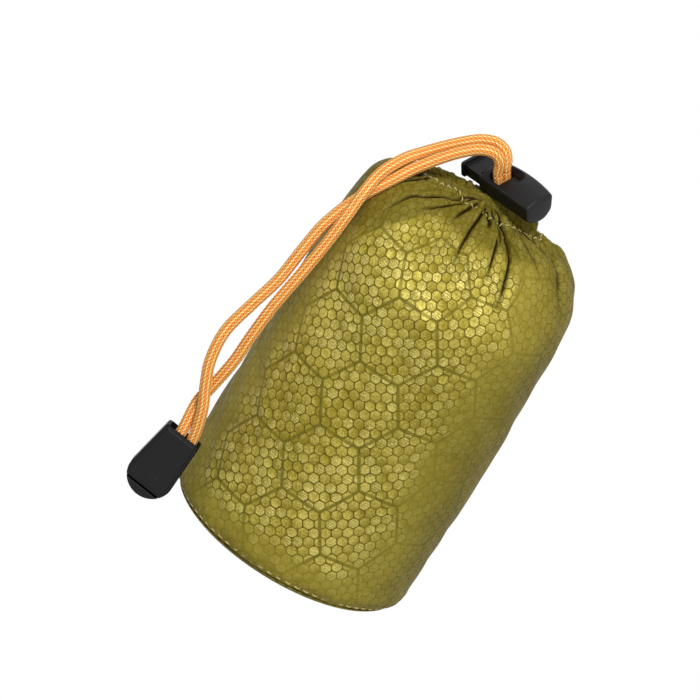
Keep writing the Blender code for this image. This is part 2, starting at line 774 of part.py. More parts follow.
def make_casing_run(finish):
    """The drawcord from one side of the lock's hole, round inside the casing, and back up."""
    top = LOCK_CROWN + GAP
    foot = -LOCK_DEPTH - 0.8 * MM
    back = Vector((0.0, LOOP_HALF_WIDTH, LOOP_HEIGHT))
    down = [lock_point(-1.0, foot)] + [back + Vector(point) * MM for point in RISER_LEFT_MM]
    down = smooth_route(down + [arched(RISER_LEFT_FOOT, LOOP_HALF_WIDTH, LOOP_HEIGHT)], 2)
    up = [back + Vector(point) * MM for point in RISER_RIGHT_MM] + [lock_point(1.0, foot)]
    up = smooth_route([arched(RISER_RIGHT_FOOT, LOOP_HALF_WIDTH, LOOP_HEIGHT)] + up, 2)
    length, width = LOOP_HALF_LENGTH, LOOP_HALF_WIDTH
    left, right = MOUTH_CENTRE - length, MOUTH_CENTRE + length
    loop = straight_points(down[-1].x, left, width, LOOP_HEIGHT, 4)
    loop += bend_points(-1, length, width, LOOP_HEIGHT)
    loop += straight_points(left, right, -width, LOOP_HEIGHT)
    loop += bend_points(1, length, width, LOOP_HEIGHT)
    loop += straight_points(right, up[0].x, width, LOOP_HEIGHT, 2)
    points = [lock_point(-1.0, top)] + down + loop + up + [lock_point(1.0, top)]
    feet = (lock_point(-1.0, foot), lock_point(1.0, foot))
    radii = [recovered_radius(min((point - end).length for end in feet)) for point in points]
    radii[0] = PINCHED_RADIUS
    radii[-1] = PINCHED_RADIUS
    place(curve("drawcord_casing_run", points, CORD_RADIUS, 2, radii), "drawcord_casing_run", finish)


def main():
    clear_scene()
    fabric = material("ripstop_fabric", (0.33, 0.27, 0.06), 0.6)
    binding = material("seam_binding", (0.24, 0.20, 0.05), 0.7)
    thread = material("thread", (0.42, 0.36, 0.12), 0.6)
    film = material("bag_film", (0.55, 0.56, 0.58), 0.3, 0.6)
    cord = material("braided_cord", (0.88, 0.42, 0.15), 0.7)
    black = material("black_plastic", (0.02, 0.02, 0.02), 0.35)
    steel = material("spring_steel", (0.6, 0.6, 0.62), 0.3, 1.0)
    make_base_panel(fabric)
    make_side_panel(fabric)
    make_base_seam(binding, thread)
    make_side_seam(binding, thread)
    make_mouth_casing(fabric, thread)
    make_roll(film)
    make_cord_lock(black, black, steel)
    make_clip(black, black, cord)
    make_casing_run(cord)
    make_free_end("drawcord_tail_outer", 1.0, OUTER_ROUTE_MM, CLIP_CORD_OUTER, cord)
    make_free_end("drawcord_tail_inner", -1.0, INNER_ROUTE_MM, CLIP_CORD_INNER, cord)


main()
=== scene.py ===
"""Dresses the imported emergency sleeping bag: fabric sack, braided drawcord, cord lock and end clip.

All sizes are in metres in the frame's own axes: the sack stands on its base with +Z up, and the
front of the sack, which the camera sees, faces -Y. Angles round the sack are measured from +X.
"""

import enum
import json
import logging
import math
from collections.abc import Callable
from dataclasses import dataclass, field

import bpy
import numpy as np
from mathutils import Euler, Matrix, Vector

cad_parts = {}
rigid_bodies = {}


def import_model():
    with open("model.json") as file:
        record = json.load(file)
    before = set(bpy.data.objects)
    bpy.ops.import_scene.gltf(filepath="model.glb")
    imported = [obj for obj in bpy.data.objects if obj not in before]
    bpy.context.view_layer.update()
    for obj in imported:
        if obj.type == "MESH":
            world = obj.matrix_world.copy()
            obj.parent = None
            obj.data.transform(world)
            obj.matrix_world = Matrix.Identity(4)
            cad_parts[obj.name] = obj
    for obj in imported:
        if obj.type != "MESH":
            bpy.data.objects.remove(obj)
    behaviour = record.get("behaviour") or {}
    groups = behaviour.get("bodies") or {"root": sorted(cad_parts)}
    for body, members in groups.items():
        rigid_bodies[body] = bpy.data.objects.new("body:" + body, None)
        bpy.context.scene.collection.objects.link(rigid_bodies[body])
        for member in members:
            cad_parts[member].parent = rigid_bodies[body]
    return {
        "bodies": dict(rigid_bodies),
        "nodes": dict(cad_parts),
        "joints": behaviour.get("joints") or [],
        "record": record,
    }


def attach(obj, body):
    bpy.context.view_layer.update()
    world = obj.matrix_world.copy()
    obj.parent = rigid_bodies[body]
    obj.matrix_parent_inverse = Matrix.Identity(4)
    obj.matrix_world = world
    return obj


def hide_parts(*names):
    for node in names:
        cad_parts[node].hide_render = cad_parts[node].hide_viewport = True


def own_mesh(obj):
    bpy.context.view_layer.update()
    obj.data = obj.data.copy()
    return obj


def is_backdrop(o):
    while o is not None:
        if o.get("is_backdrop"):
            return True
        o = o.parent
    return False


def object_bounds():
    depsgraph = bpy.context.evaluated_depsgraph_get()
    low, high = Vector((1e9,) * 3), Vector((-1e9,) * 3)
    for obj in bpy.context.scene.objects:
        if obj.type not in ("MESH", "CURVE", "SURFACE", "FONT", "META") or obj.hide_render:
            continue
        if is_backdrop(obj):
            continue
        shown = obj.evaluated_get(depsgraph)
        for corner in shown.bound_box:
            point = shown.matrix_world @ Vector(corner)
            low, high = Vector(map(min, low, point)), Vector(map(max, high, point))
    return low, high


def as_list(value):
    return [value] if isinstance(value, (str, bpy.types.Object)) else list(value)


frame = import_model()
cad_low, cad_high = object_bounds()

MM = 0.001
FULL_TURN = 2.0 * math.pi
ROOT_3 = math.sqrt(3.0)
SHARP_EDGE = math.radians(32.0)

logging.basicConfig(level=logging.INFO, format="%(message)s")
log = logging.getLogger("sleeping_bag")

Array = np.ndarray
Object = bpy.types.Object
Material = bpy.types.Material
Socket = bpy.types.NodeSocket
Point = tuple[float, float, float]
Colour = Point
Span = tuple[float, float]
Number = float | Socket


class Body(enum.Enum):
    """The frame's bodies that a piece can ride on."""

    SACK = "sack"
    PLUNGER = "plunger"
    CLIP_COVER = "clip_cover"


class Slot(enum.Enum):
    """The record's material slots."""

    FABRIC = "ripstop_fabric"
    BINDING = "seam_binding"
    THREAD = "thread"
    FILM = "bag_film"
    CORD = "braided_cord"
    PLASTIC = "black_plastic"
    STEEL = "spring_steel"


class Nodes:
    """Adds shader nodes to one tree and joins them up."""

    def __init__(self, tree: bpy.types.NodeTree) -> None:
        """Work on this tree."""
        self.tree = tree

    def add(self, kind: str, **settings: object) -> bpy.types.Node:
        """Add one node.

        Args:
            kind: the node's type name.
            **settings: values for the node's own properties.

        Returns:
            The new node.
        """
        node = self.tree.nodes.new(kind)
        for name, value in settings.items():
            setattr(node, name, value)
        return node

    def feed(self, socket: Socket, value: Number | tuple) -> None:
        """Link a socket to the input, or set the input's own value."""
        if isinstance(value, Socket):
            self.tree.links.new(value, socket)
        elif isinstance(value, tuple) and len(value) == 3 and len(socket.default_value) == 4:
            socket.default_value = (*value, 1.0)
        else:
            socket.default_value = value

    def feed_all(self, node: bpy.types.Node, *values: object, first: int = 0) -> None:
        """Feed a node's inputs in order, from the first one given."""
        for socket, value in zip(list(node.inputs)[first:], values):
            self.feed(socket, value)

    def math(self, operation: str, *values: Number) -> Socket:
        """The result of an operation on numbers."""
        node = self.add("ShaderNodeMath", operation=operation)
        self.feed_all(node, *values)
        return node.outputs[0]

    def plus(self, first: Number, second: Number) -> Socket:
        """The sum of two numbers."""
        return self.math("ADD", first, second)

    def minus(self, first: Number, second: Number) -> Socket:
        """The first number less the second."""
        return self.math("SUBTRACT", first, second)

    def times(self, first: Number, second: Number) -> Socket:
        """The product of two numbers."""
        return self.math("MULTIPLY", first, second)

    def total(self, *parts: tuple[Number, float]) -> Socket:
        """The sum of numbers, each times its weight."""
        total = self.times(*parts[0])
        for part in parts[1:]:
            total = self.plus(total, self.times(*part))
        return total

    def vector(self, operation: str, *values: object) -> Socket:
        """The result of an operation on vectors, a number for a length or a dot product."""
        node = self.add("ShaderNodeVectorMath", operation=operation)
        self.feed_all(node, *values)
        return node.outputs["Value" if operation in ("LENGTH", "DOT_PRODUCT") else "Vector"]

    def step(self, value: Number, low: float, high: float) -> Socket:
        """A smooth step: 0 where the value is at or past low and 1 at or past high."""
        node = self.add("ShaderNodeMapRange", interpolation_type="SMOOTHSTEP")
        ends = (low, high, 0.0, 1.0) if low < high else (high, low, 1.0, 0.0)
        self.feed_all(node, value, *ends)
        return node.outputs[0]

    def mix(self, share: Number, first: object, second: object) -> Socket:
        """Mix two colours: the first at share 0 and the second at share 1."""
        node = self.add("ShaderNodeMix", data_type="RGBA")
        self.feed(node.inputs[0], share)
        self.feed_all(node, first, second, first=6)
        return node.outputs[2]

    def blend(self, share: Number, first: Number, second: Number) -> Socket:
        """Mix two numbers: the first at share 0 and the second at share 1."""
        node = self.add("ShaderNodeMix", data_type="FLOAT")
        self.feed(node.inputs[0], share)
        self.feed_all(node, first, second, first=2)
        return node.outputs[0]

    def noise(self, place: Socket, scale: float, detail: float = 3.0) -> Socket:
        """Soft noise from 0 to 1.

        Args:
            place: where it is read, in metres.
            scale: how many blobs to a metre.
            detail: how many finer layers it has.

        Returns:
            The noise's socket.
        """
        node = self.add("ShaderNodeTexNoise")
        self.feed(node.inputs["Vector"], place)
        node.inputs["Scale"].default_value = scale
        node.inputs["Detail"].default_value = detail
        return node.outputs[0]

    def bands(self, place: Socket, width: float, direction: str = "DIAGONAL") -> Socket:
        """Smooth bands from 0 to 1, which repeat after about a third of the width."""
        node = self.add("ShaderNodeTexWave", wave_type="BANDS", bands_direction=direction)
        self.feed(node.inputs["Vector"], place)
        node.inputs["Scale"].default_value = 1.0 / width
        return node.outputs["Fac"]

    def split(self, place: Socket) -> list[Socket]:
        """A place's three coordinates."""
        node = self.add("ShaderNodeSeparateXYZ")
        self.feed(node.inputs[0], place)
        return list(node.outputs)

    def here(self) -> Socket:
        """The place on the object, in metres."""
        return self.add("ShaderNodeTexCoord").outputs["Object"]

    def flat(self) -> Socket:
        """The place on the flat cloth or cord, across and along it, in metres."""
        return self.add("ShaderNodeTexCoord").outputs["UV"]

    def in_view(self) -> Socket:
        """1 for what the camera sees, also through glass or in a gloss, and 0 for what lights."""
        path = self.add("ShaderNodeLightPath").outputs
        seen = self.math("MAXIMUM", path["Is Camera Ray"], path["Is Transmission Ray"])
        return self.math("MAXIMUM", seen, path["Is Glossy Ray"])


class Surface(Nodes):
    """The nodes of one new material, with its shader."""

    def __init__(self, name: str, roughness: float) -> None:
        """Make the material."""
        self.material = bpy.data.materials.new(name)
        self.material.use_nodes = True
        super().__init__(self.material.node_tree)
        self.shader = self.tree.nodes["Principled BSDF"]
        self.set("Roughness", roughness)

    def set(self, socket: str, value: Number | tuple) -> None:
        """Feed one of the shader's sockets."""
        self.feed(self.shader.inputs[socket], value)

    def raised(self, height: Number) -> Material:
        """The material, with a fine relief of a height in metres."""
        bump = self.add("ShaderNodeBump")
        bump.inputs["Strength"].default_value = 1.0
        bump.inputs["Distance"].default_value = 1.0
        self.feed(bump.inputs["Height"], height)
        self.set("Normal", bump.outputs[0])
        return self.material


def hexagon_group() -> bpy.types.NodeTree:
    """A node group for a honeycomb whose cells are one unit apart, with flat sides above and below.

    Returns:
        The group. Its input is a place, and its outputs are how far out of its cell the place is, by
        flat sides and by a round, from 0 at the centre to 0.5 at the sides, the cell's centre, and the
        place's offset from it.
    """
    tree = bpy.data.node_groups.new("honeycomb", "ShaderNodeTree")
    tree.interface.new_socket("Place", in_out="INPUT", socket_type="NodeSocketVector")
    for name, kind in (("Flat", "Float"), ("Round", "Float"), ("Centre", "Vector"), ("Offset", "Vector")):
        tree.interface.new_socket(name, in_out="OUTPUT", socket_type="NodeSocket" + kind)
    nodes = Nodes(tree)
    place = nodes.add("NodeGroupInput").outputs[0]
    repeat = (ROOT_3, 1.0, 1.0)
    half = tuple(size / 2.0 for size in repeat)

    def nearest(shift: Point) -> tuple[Socket, Socket]:
        """The offset from the nearest centre of one of the honeycomb's two plain grids, and its length."""
        moved = nodes.vector("SUBTRACT", place, shift)
        cell = nodes.vector("FLOOR", nodes.vector("DIVIDE", moved, repeat))
        corner = nodes.vector("MULTIPLY", cell, repeat)
        offset = nodes.vector("SUBTRACT", nodes.vector("SUBTRACT", moved, corner), half)
        offset = nodes.vector("MULTIPLY", offset, (1.0, 1.0, 0.0))
        return offset, nodes.vector("LENGTH", offset)

    first, first_far = nearest((0.0, 0.0, 0.0))
    second, second_far = nearest((half[0], half[1], 0.0))
    choose = nodes.add("ShaderNodeMix", data_type="VECTOR")
    nodes.feed(choose.inputs[0], nodes.math("LESS_THAN", second_far, first_far))
    nodes.feed_all(choose, first, second, first=4)
    offset = choose.outputs[1]
    folded = nodes.vector("ABSOLUTE", offset)
    slanted = nodes.vector("DOT_PRODUCT", folded, (ROOT_3 / 2.0, 0.5, 0.0))
    upright = nodes.vector("DOT_PRODUCT", folded, (0.0, 1.0, 0.0))
    flat = nodes.math("MAXIMUM", slanted, upright)
    centre = nodes.vector("SUBTRACT", place, offset)
    nodes.feed_all(nodes.add("NodeGroupOutput"), flat, nodes.vector("LENGTH", offset), centre, offset)
    return tree


@dataclass(frozen=True)
class RipstopFinish:
    """Satin ripstop cloth, pressed with small cells and marked with large hexagons.

    The cells stand out with a painted sheen about the sheen turn and on the far side, and fade towards
    the base, the hem and the sides between. The plain cloth is painted lighter towards the sheen turn
    and darker at the sides, as painted shade, and a few cells carry painted glints. A pair of shares is
    where a smooth step starts and ends. The painted sheen weights are for each cell's chance, patches,
    speckle, fleck, the cell's lean and broad patches.
    """

    roughness: float = 0.42
    rougher_between: float = 0.18
    smoother_on_cells: float = 0.06
    wall_radius: float = 35.0 * MM
    small_columns: int = 84
    large_columns: int = 12
    large_middle_turn: float = 266.2
    large_middle_height: float = 78.4 * MM
    sheen_turn: float = 260.0
    sheen_drift: float = 1.3
    sheen_zone_ends: Span = (-0.25, 0.35)
    plain_lit_ends: Span = (-1.35, -0.2)
    base_ends: Span = (8.0 * MM, 14.0 * MM)
    hem_height: float = 113.0 * MM
    hem_height_left: float = 93.0 * MM
    hem_turns_left: Span = (246.0, 218.0)
    hem_fade: float = 5.0 * MM
    least_shown: float = 0.22
    metallic: float = 0.15
    specular: float = 0.09
    rounding: float = 0.4
    cell_ends: Span = (0.484, 0.418)
    line_ends: Span = (0.470, 0.484)
    line_strength: float = 0.82
    hatch_pitch: float = 0.66 * MM
    hatch_way: Point = (0.14, 0.99, 0.0)
    hatch_chance: Span = (0.80, 0.84)
    hatch_strength: float = 0.42
    cell_sheen_weights: tuple[float, ...] = (0.30, 0.6, 1.0, 1.3, 1.0, 0.9)
    cell_sheen_ends: Span = (1.10, 2.15)
    glint_chance: Span = (0.55, 0.75)
    glint_fleck: Span = (0.56, 0.72)
    glint_strength: float = 0.75
    patchiness: Span = (0.45, 1.25)
    tilt: float = 0.9 * MM
    pillow: float = 0.07 * MM
    thread_width: float = 0.5 * MM
    weave: float = 0.006 * MM
    crumple: Span = (0.25 * MM, 0.7 * MM)
    grit: float = 0.05 * MM
    # The glint and the cell's sheen colour are painted highlights; the plain cloth's lit tone is painted
    # light.
    glint: Colour = (0.97, 0.92, 0.55)
    cell_painted_sheen: Colour = (0.68, 0.57, 0.13)
    cell_dull: Colour = (0.26, 0.205, 0.015)
    cell_edge: Colour = (0.13, 0.095, 0.008)
    line_shade: Colour = (0.175, 0.145, 0.014)
    plain: Colour = (0.13, 0.10, 0.007)
    plain_painted_lit: Colour = (0.31, 0.25, 0.030)
    fold_shade: Colour = (0.016, 0.010, 0.001)

    def cells(self, made: Surface, tree: bpy.types.NodeTree, columns: int) -> bpy.types.Node:
        """Lay a honeycomb on the cloth.

        Args:
            made: the material's nodes.
            tree: the honeycomb group.
            columns: how many columns of cells go round the sack.

        Returns:
            The honeycomb's node.
        """
        pitch = FULL_TURN * self.wall_radius / columns / (ROOT_3 / 2.0)
        middle = math.radians(self.large_middle_turn) * self.wall_radius
        corner = (middle - ROOT_3 / 2.0 * pitch, self.large_middle_height - pitch / 2.0, 0.0)
        node = made.add("ShaderNodeGroup", node_tree=tree)
        moved = made.vector("SUBTRACT", made.flat(), corner)
        made.feed(node.inputs[0], made.vector("MULTIPLY", moved, (1.0 / pitch, 1.0 / pitch, 0.0)))
        return node

    def make(self) -> Material:
        """Make the cloth's material."""
        made = Surface("ripstop", self.roughness)
        tree = hexagon_group()
        small = self.cells(made, tree, self.small_columns)
        large = self.cells(made, tree, self.large_columns)
        across, along, _ = made.split(made.flat())
        here = made.here()
        patches = made.noise(here, 150.0, 4.0)
        speckle = made.noise(here, 1500.0, 3.0)
        fleck = made.noise(here, 3300.0, 2.0)
        broad = made.noise(here, 26.0, 1.0)

        # Painted sheen: the cells stand out where the satin would catch the light, about the sheen turn.
        turn = made.math("DIVIDE", across, self.wall_radius)
        off = made.minus(turn, math.radians(self.sheen_turn))
        facing = made.math("COSINE", made.times(off, 2.0))
        drift = made.times(made.minus(made.noise(here, 70.0), 0.5), self.sheen_drift)
        facing = made.plus(facing, drift)
        left_side = made.step(turn, *[math.radians(end) for end in self.hem_turns_left])
        above_hem = made.minus(along, made.blend(left_side, self.hem_height, self.hem_height_left))
        below_hem = made.step(above_hem, self.hem_fade, -self.hem_fade)
        painted_sheen_zone = made.times(made.step(along, *self.base_ends), below_hem)
        painted_sheen_zone = made.times(made.step(facing, *self.sheen_zone_ends), painted_sheen_zone)
        shown = made.blend(painted_sheen_zone, self.least_shown, 1.0)

        rounder = made.blend(self.rounding, small.outputs["Flat"], small.outputs["Round"])
        rounder = made.plus(rounder, made.times(made.minus(speckle, 0.5), 0.05))
        disc = made.step(rounder, *self.cell_ends)
        scatter = made.add("ShaderNodeTexWhiteNoise", noise_dimensions="3D")
        centre = made.vector("ADD", small.outputs["Centre"], (0.07, 0.05, 0.0))
        made.feed(scatter.inputs["Vector"], made.vector("SNAP", centre, (0.2, 0.2, 1.0)))
        chance = scatter.outputs["Value"]
        lean = made.vector("SUBTRACT", scatter.outputs["Color"], (0.5, 0.5, 0.5))
        lean = made.vector("DOT_PRODUCT", lean, small.outputs["Offset"])
        slope = made.vector("DOT_PRODUCT", made.flat(), self.hatch_way)
        hatch = made.math("SINE", made.times(slope, FULL_TURN / self.hatch_pitch))
        hatched = made.times(made.step(chance, *self.hatch_chance), made.step(hatch, -0.2, 0.8))
        disc = made.times(disc, made.minus(1.0, made.times(hatched, self.hatch_strength)))
        pressed_in = made.times(disc, shown)

        # Painted sheen: each cell is painted brighter or duller by chance, patches and its lean, as a satin
        # cell catches the light.
        lights = (chance, patches, speckle, fleck, lean, made.minus(broad, 0.5))
        glow = made.step(made.total(*zip(lights, self.cell_sheen_weights)), *self.cell_sheen_ends)
        inside = made.mix(glow, self.cell_dull, self.cell_painted_sheen)
        # Painted glints: a few cells painted with a pale highlight colour.
        sparkle = made.times(made.step(chance, *self.glint_chance), made.step(fleck, *self.glint_fleck))
        inside = made.mix(made.times(sparkle, self.glint_strength), inside, self.glint)
        outside = made.mix(made.step(speckle, 0.35, 0.75), self.cell_edge, self.cell_dull)
        pressed = made.mix(disc, outside, inside)
        line = made.times(made.step(large.outputs["Flat"], *self.line_ends), self.line_strength)
        pressed = made.mix(line, pressed, self.line_shade)
        # The plain cloth: painted lighter towards the sheen turn and darker at the sides as painted shade, in
        # random patches, and darker above the hem line.
        plain_painted_lit = made.mix(made.step(above_hem, -1.0 * MM, 3.0 * MM), self.plain_painted_lit, self.plain)
        patchy = made.blend(made.noise(here, 60.0), *self.patchiness)
        near = made.times(made.step(facing, *self.plain_lit_ends), patchy)
        cloth = made.mix(shown, made.mix(near, self.plain, plain_painted_lit), pressed)
        # Painted shade in the creases and the pleats' valleys, read from the wall's fold attribute.
        deep = made.add("ShaderNodeAttribute", attribute_name="fold").outputs["Fac"]
        made.set("Base Color", made.mix(deep, cloth, self.fold_shade))
        rough = (self.roughness + self.rougher_between, self.roughness - self.smoother_on_cells)
        made.set("Roughness", made.blend(pressed_in, *rough))
        made.set("Metallic", made.times(pressed_in, self.metallic))
        made.set("Specular IOR Level", self.specular)

        weave = made.times(made.bands(made.flat(), self.thread_width, "X"), self.weave)
        pillow = made.times(pressed_in, made.plus(made.times(lean, self.tilt), self.pillow))
        gathered = made.step(above_hem, -4.0 * MM, 2.0 * MM)
        crumple = made.times(made.noise(here, 420.0, 5.0), made.blend(gathered, *self.crumple))
        crumple = made.plus(crumple, made.times(speckle, self.grit))
        return made.raised(made.plus(made.plus(pillow, weave), crumple))


@dataclass(frozen=True)
class WovenTapeFinish:
    """Narrow woven tape of the inside seams, with ribs across it."""

    roughness: float = 0.7
    rib: float = 0.9 * MM
    rib_height: float = 0.04 * MM
    colour: Colour = (0.22, 0.175, 0.035)
    shade: Colour = (0.12, 0.09, 0.015)

    def make(self) -> Material:
        """Make the tape's material."""
        made = Surface("woven_tape", self.roughness)
        here = made.here()
        ribs = made.bands(here, self.rib)
        # Darker between the ribs as painted shade, and in random patches by the noise.
        share = made.times(ribs, made.noise(here, 600.0))
        made.set("Base Color", made.mix(share, self.shade, self.colour))
        return made.raised(made.times(ribs, self.rib_height))


@dataclass(frozen=True)
class ThreadFinish:
    """Twisted sewing thread."""

    roughness: float = 0.55
    twist: float = 0.35 * MM
    twist_height: float = 0.03 * MM
    colour: Colour = (0.70, 0.62, 0.26)
    shade: Colour = (0.42, 0.35, 0.11)

    def make(self) -> Material:
        """Make the thread's material."""
        made = Surface("sewing_thread", self.roughness)
        twist = made.bands(made.here(), self.twist)
        # Darker in the twist's grooves, as painted shade.
        made.set("Base Color", made.mix(twist, self.shade, self.colour))
        return made.raised(made.times(twist, self.twist_height))


@dataclass(frozen=True)
class FilmFinish:
    """Thin crinkled metal-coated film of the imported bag."""

    roughness: float = 0.28
    rough_ends: Span = (0.2, 0.4)
    metallic: float = 0.85
    crinkles: float = 260.0
    ridge_ends: Span = (0.0, 0.12)
    ridge_height: float = 0.15 * MM
    colour: Colour = (0.62, 0.63, 0.65)
    shade: Colour = (0.34, 0.35, 0.37)

    def make(self) -> Material:
        """Make the film's material."""
        made = Surface("metal_film", self.roughness)
        here = made.here()
        made.set("Metallic", self.metallic)
        crinkle = made.add("ShaderNodeTexVoronoi", feature="DISTANCE_TO_EDGE")
        crinkle.inputs["Scale"].default_value = self.crinkles
        made.feed(crinkle.inputs["Vector"], here)
        ridge = made.step(crinkle.outputs["Distance"], *self.ridge_ends)
        # Darker along the crinkles' creases, as painted shade.
        made.set("Base Color", made.mix(ridge, self.shade, self.colour))
        made.set("Roughness", made.blend(made.noise(here, 900.0), *self.rough_ends))
        return made.raised(made.times(ridge, self.ridge_height))


@dataclass(frozen=True)
class BraidFinish:
    """Two-tone braid, two strands over and two under, with the strands of one hand pale and painted shade at
    each strand's rim.
    """

    roughness: float = 0.62
    specular: float = 0.15
    strands: int = 16
    lead: float = 18.5 * MM
    wear: float = 0.6
    painted_rim_shade_ends: Span = (0.75, 1.30)
    fibres: float = 3.0
    fibre_height: float = 0.012 * MM
    wear_height: float = 0.02 * MM
    pale: Colour = (1.0, 0.82, 0.33)
    pale_shade: Colour = (0.88, 0.26, 0.035)
    orange: Colour = (1.0, 0.43, 0.075)
    orange_shade: Colour = (0.66, 0.085, 0.008)

    def counts(self, turn: Array, way: Array) -> tuple[Array, Array]:
        """How many strands of each hand lie before a place on the cord.

        Args:
            turn: shares of a turn round the cord.
            way: distances along it.

        Returns:
            The counts for the strands that climb one way and the other.
        """
        wound = self.strands * way / self.lead
        return self.strands * turn + wound, self.strands * turn - wound

    def crown(self, turn: Array, way: Array) -> Array:
        """How far the top strand's rounded back stands up, from 0 between strands to 1."""
        first, second = self.counts(turn, way)
        phase = np.mod(np.floor(first) + np.floor(second), 4.0)
        second_up = phase < 2.0
        across = np.where(second_up, np.mod(second, 1.0), np.mod(first, 1.0)) - 0.5
        along = np.where(second_up, phase + np.mod(first, 1.0), phase - 2.0 + np.mod(second, 1.0)) - 1.0
        rounded = np.sqrt(np.clip(1.0 - 3.6 * across**2, 0.0, 1.0))
        return rounded * (0.35 + 0.65 * np.cos(along * math.pi / 2.0))

    def make(self) -> Material:
        """Make the braid's material."""
        made = Surface("braid", self.roughness)
        turn, way, _ = made.split(made.flat())
        turn = made.times(turn, float(self.strands))
        wound = made.times(way, self.strands / self.lead)
        first, second = made.plus(turn, wound), made.minus(turn, wound)
        floors = made.plus(made.math("FLOOR", first), made.math("FLOOR", second))
        phase = made.math("FLOORED_MODULO", floors, 4.0)
        pale_up = made.math("LESS_THAN", phase, 1.5)
        first, second = made.math("FRACT", first), made.math("FRACT", second)
        share = made.blend(pale_up, first, second)
        before, after = made.minus(made.plus(phase, second), 3.0), made.minus(made.plus(phase, first), 1.0)
        along = made.blend(pale_up, before, after)
        edge = made.times(made.minus(share, 0.5), 2.0)
        edge = made.plus(made.times(edge, edge), made.times(along, along))
        wear = made.noise(made.here(), 1500.0)
        # Painted shade at each strand's rim, where it dips under its neighbours, made uneven by the wear
        # noise.
        rim = made.step(made.plus(edge, made.times(wear, self.wear)), *self.painted_rim_shade_ends)
        spread = made.add("ShaderNodeCombineXYZ")
        made.feed(spread.inputs[0], share)
        fibres = made.bands(spread.outputs[0], 1.0 / self.fibres, "X")
        strand_pale = made.mix(rim, self.pale, self.pale_shade)
        strand_orange = made.mix(rim, self.orange, self.orange_shade)
        made.set("Base Color", made.mix(pale_up, strand_orange, strand_pale))
        made.set("Specular IOR Level", self.specular)
        return made.raised(made.total((fibres, self.fibre_height), (wear, self.wear_height)))


@dataclass(frozen=True)
class PlasticFinish:
    """Black moulded plastic with a fine grain and light scuffs."""

    name: str = "moulded_plastic"
    roughness: float = 0.38
    smoother: float = 0.08
    rougher: float = 0.14
    specular: float = 0.25
    scuff_ends: Span = (0.58, 0.78)
    grain: float = 0.018 * MM
    colour: Colour = (0.0055, 0.0055, 0.0060)
    scuff: Colour = (0.013, 0.013, 0.015)

    def make(self) -> Material:
        """Make the plastic's material."""
        made = Surface(self.name, self.roughness)
        here = made.here()
        scuffs = made.step(made.noise(here, 340.0, 6.0), *self.scuff_ends)
        made.set("Base Color", made.mix(scuffs, self.colour, self.scuff))
        rough = (self.roughness - self.smoother, self.roughness + self.rougher)
        made.set("Roughness", made.blend(made.noise(here, 220.0, 4.0), *rough))
        made.set("Specular IOR Level", self.specular)
        return made.raised(made.times(made.noise(here, 5200.0, 2.0), self.grain))


@dataclass(frozen=True)
class SteelFinish:
    """Bright drawn spring wire."""

    roughness: float = 0.3
    rough_ends: Span = (0.22, 0.4)
    drawn_height: float = 0.004 * MM
    colour: Colour = (0.62, 0.62, 0.64)
    shade: Colour = (0.42, 0.42, 0.44)

    def make(self) -> Material:
        """Make the wire's material."""
        made = Surface("spring_wire", self.roughness)
        made.set("Metallic", 1.0)
        drawn = made.noise(made.here(), 2400.0, 2.0)
        made.set("Base Color", made.mix(drawn, self.shade, self.colour))
        made.set("Roughness", made.blend(drawn, *self.rough_ends))
        return made.raised(made.times(drawn, self.drawn_height))


def polished_plastic() -> Material:
    """Make the darker and smoother plastic of the clip's sides."""
    finish = PlasticFinish("polished_plastic", 0.26, specular=0.10, colour=(0.002,) * 3, scuff=(0.006,) * 3)
    return finish.make()


@dataclass
class Finishes:
    """The object's materials, each made once."""

    ripstop: Material = field(default_factory=RipstopFinish().make)
    tape: Material = field(default_factory=WovenTapeFinish().make)
    thread: Material = field(default_factory=ThreadFinish().make)
    film: Material = field(default_factory=FilmFinish().make)
    braid: Material = field(default_factory=BraidFinish().make)
    plastic: Material = field(default_factory=PlasticFinish().make)
    polished: Material = field(default_factory=polished_plastic)
    steel: Material = field(default_factory=SteelFinish().make)


def unit(vectors: Array) -> Array:
    """The vectors, each made one long."""
    return vectors / np.maximum(np.linalg.norm(vectors, axis=-1, keepdims=True), 1e-12)


def smooth_step(value: Array | float, low: float, high: float) -> Array:
    """0 up to low, 1 from high, and smooth between; low may be the higher of the two."""
    share = np.clip((np.asarray(value, dtype=float) - low) / (high - low), 0.0, 1.0)
    return share * share * (3.0 - 2.0 * share)


def bell(*shares: Array | float) -> Array:
    """1 where every share is 0, and falling off smoothly past a share of 1."""
    return np.exp(-sum(share**2 for share in shares))


def dots(first: Array, second: Array) -> Array:
    """The dot products of two lists of vectors."""
    return np.einsum("ij,ij->i", first, second)


def beside(turn: Array, degrees: float) -> Array:
    """How far turns lie from a direction, as the sine of half the angle between."""
    return np.sin((turn - math.radians(degrees)) / 2.0)


def on_ring(out: Array | float, turn: Array, up: Array | float) -> Array:
    """Points at turns round the sack's axis, so far out of it and so high."""
    return np.stack(np.broadcast_arrays(out * np.cos(turn), out * np.sin(turn), up), axis=-1)


def smooth_route(route: list[Vector], per_span: int) -> Array:
    """A smooth curve through the route's points.

    Args:
        route: the points.
        per_span: how many times it is read between two of them.

    Returns:
        The points of the curve.
    """
    points = np.array([tuple(point) for point in route])
    ends = np.vstack([2 * points[0] - points[1], points, 2 * points[-1] - points[-2]])
    read = []
    for before, here, there, after in zip(ends, ends[1:], ends[2:], ends[3:]):
        for t in np.arange(per_span) / per_span:
            bend = (2 * before - 5 * here + 4 * there - after) * t * t
            sway = (3 * here - before - 3 * there + after) * t * t * t
            read.append(0.5 * (2 * here + (there - before) * t + bend + sway))
    read.append(points[-1])
    return np.array(read)


def way_along(points: Array) -> Array:
    """The distance along a line of points to each of them."""
    steps = np.linalg.norm(np.diff(points, axis=0), axis=1)
    return np.concatenate([[0.0], np.cumsum(steps)])


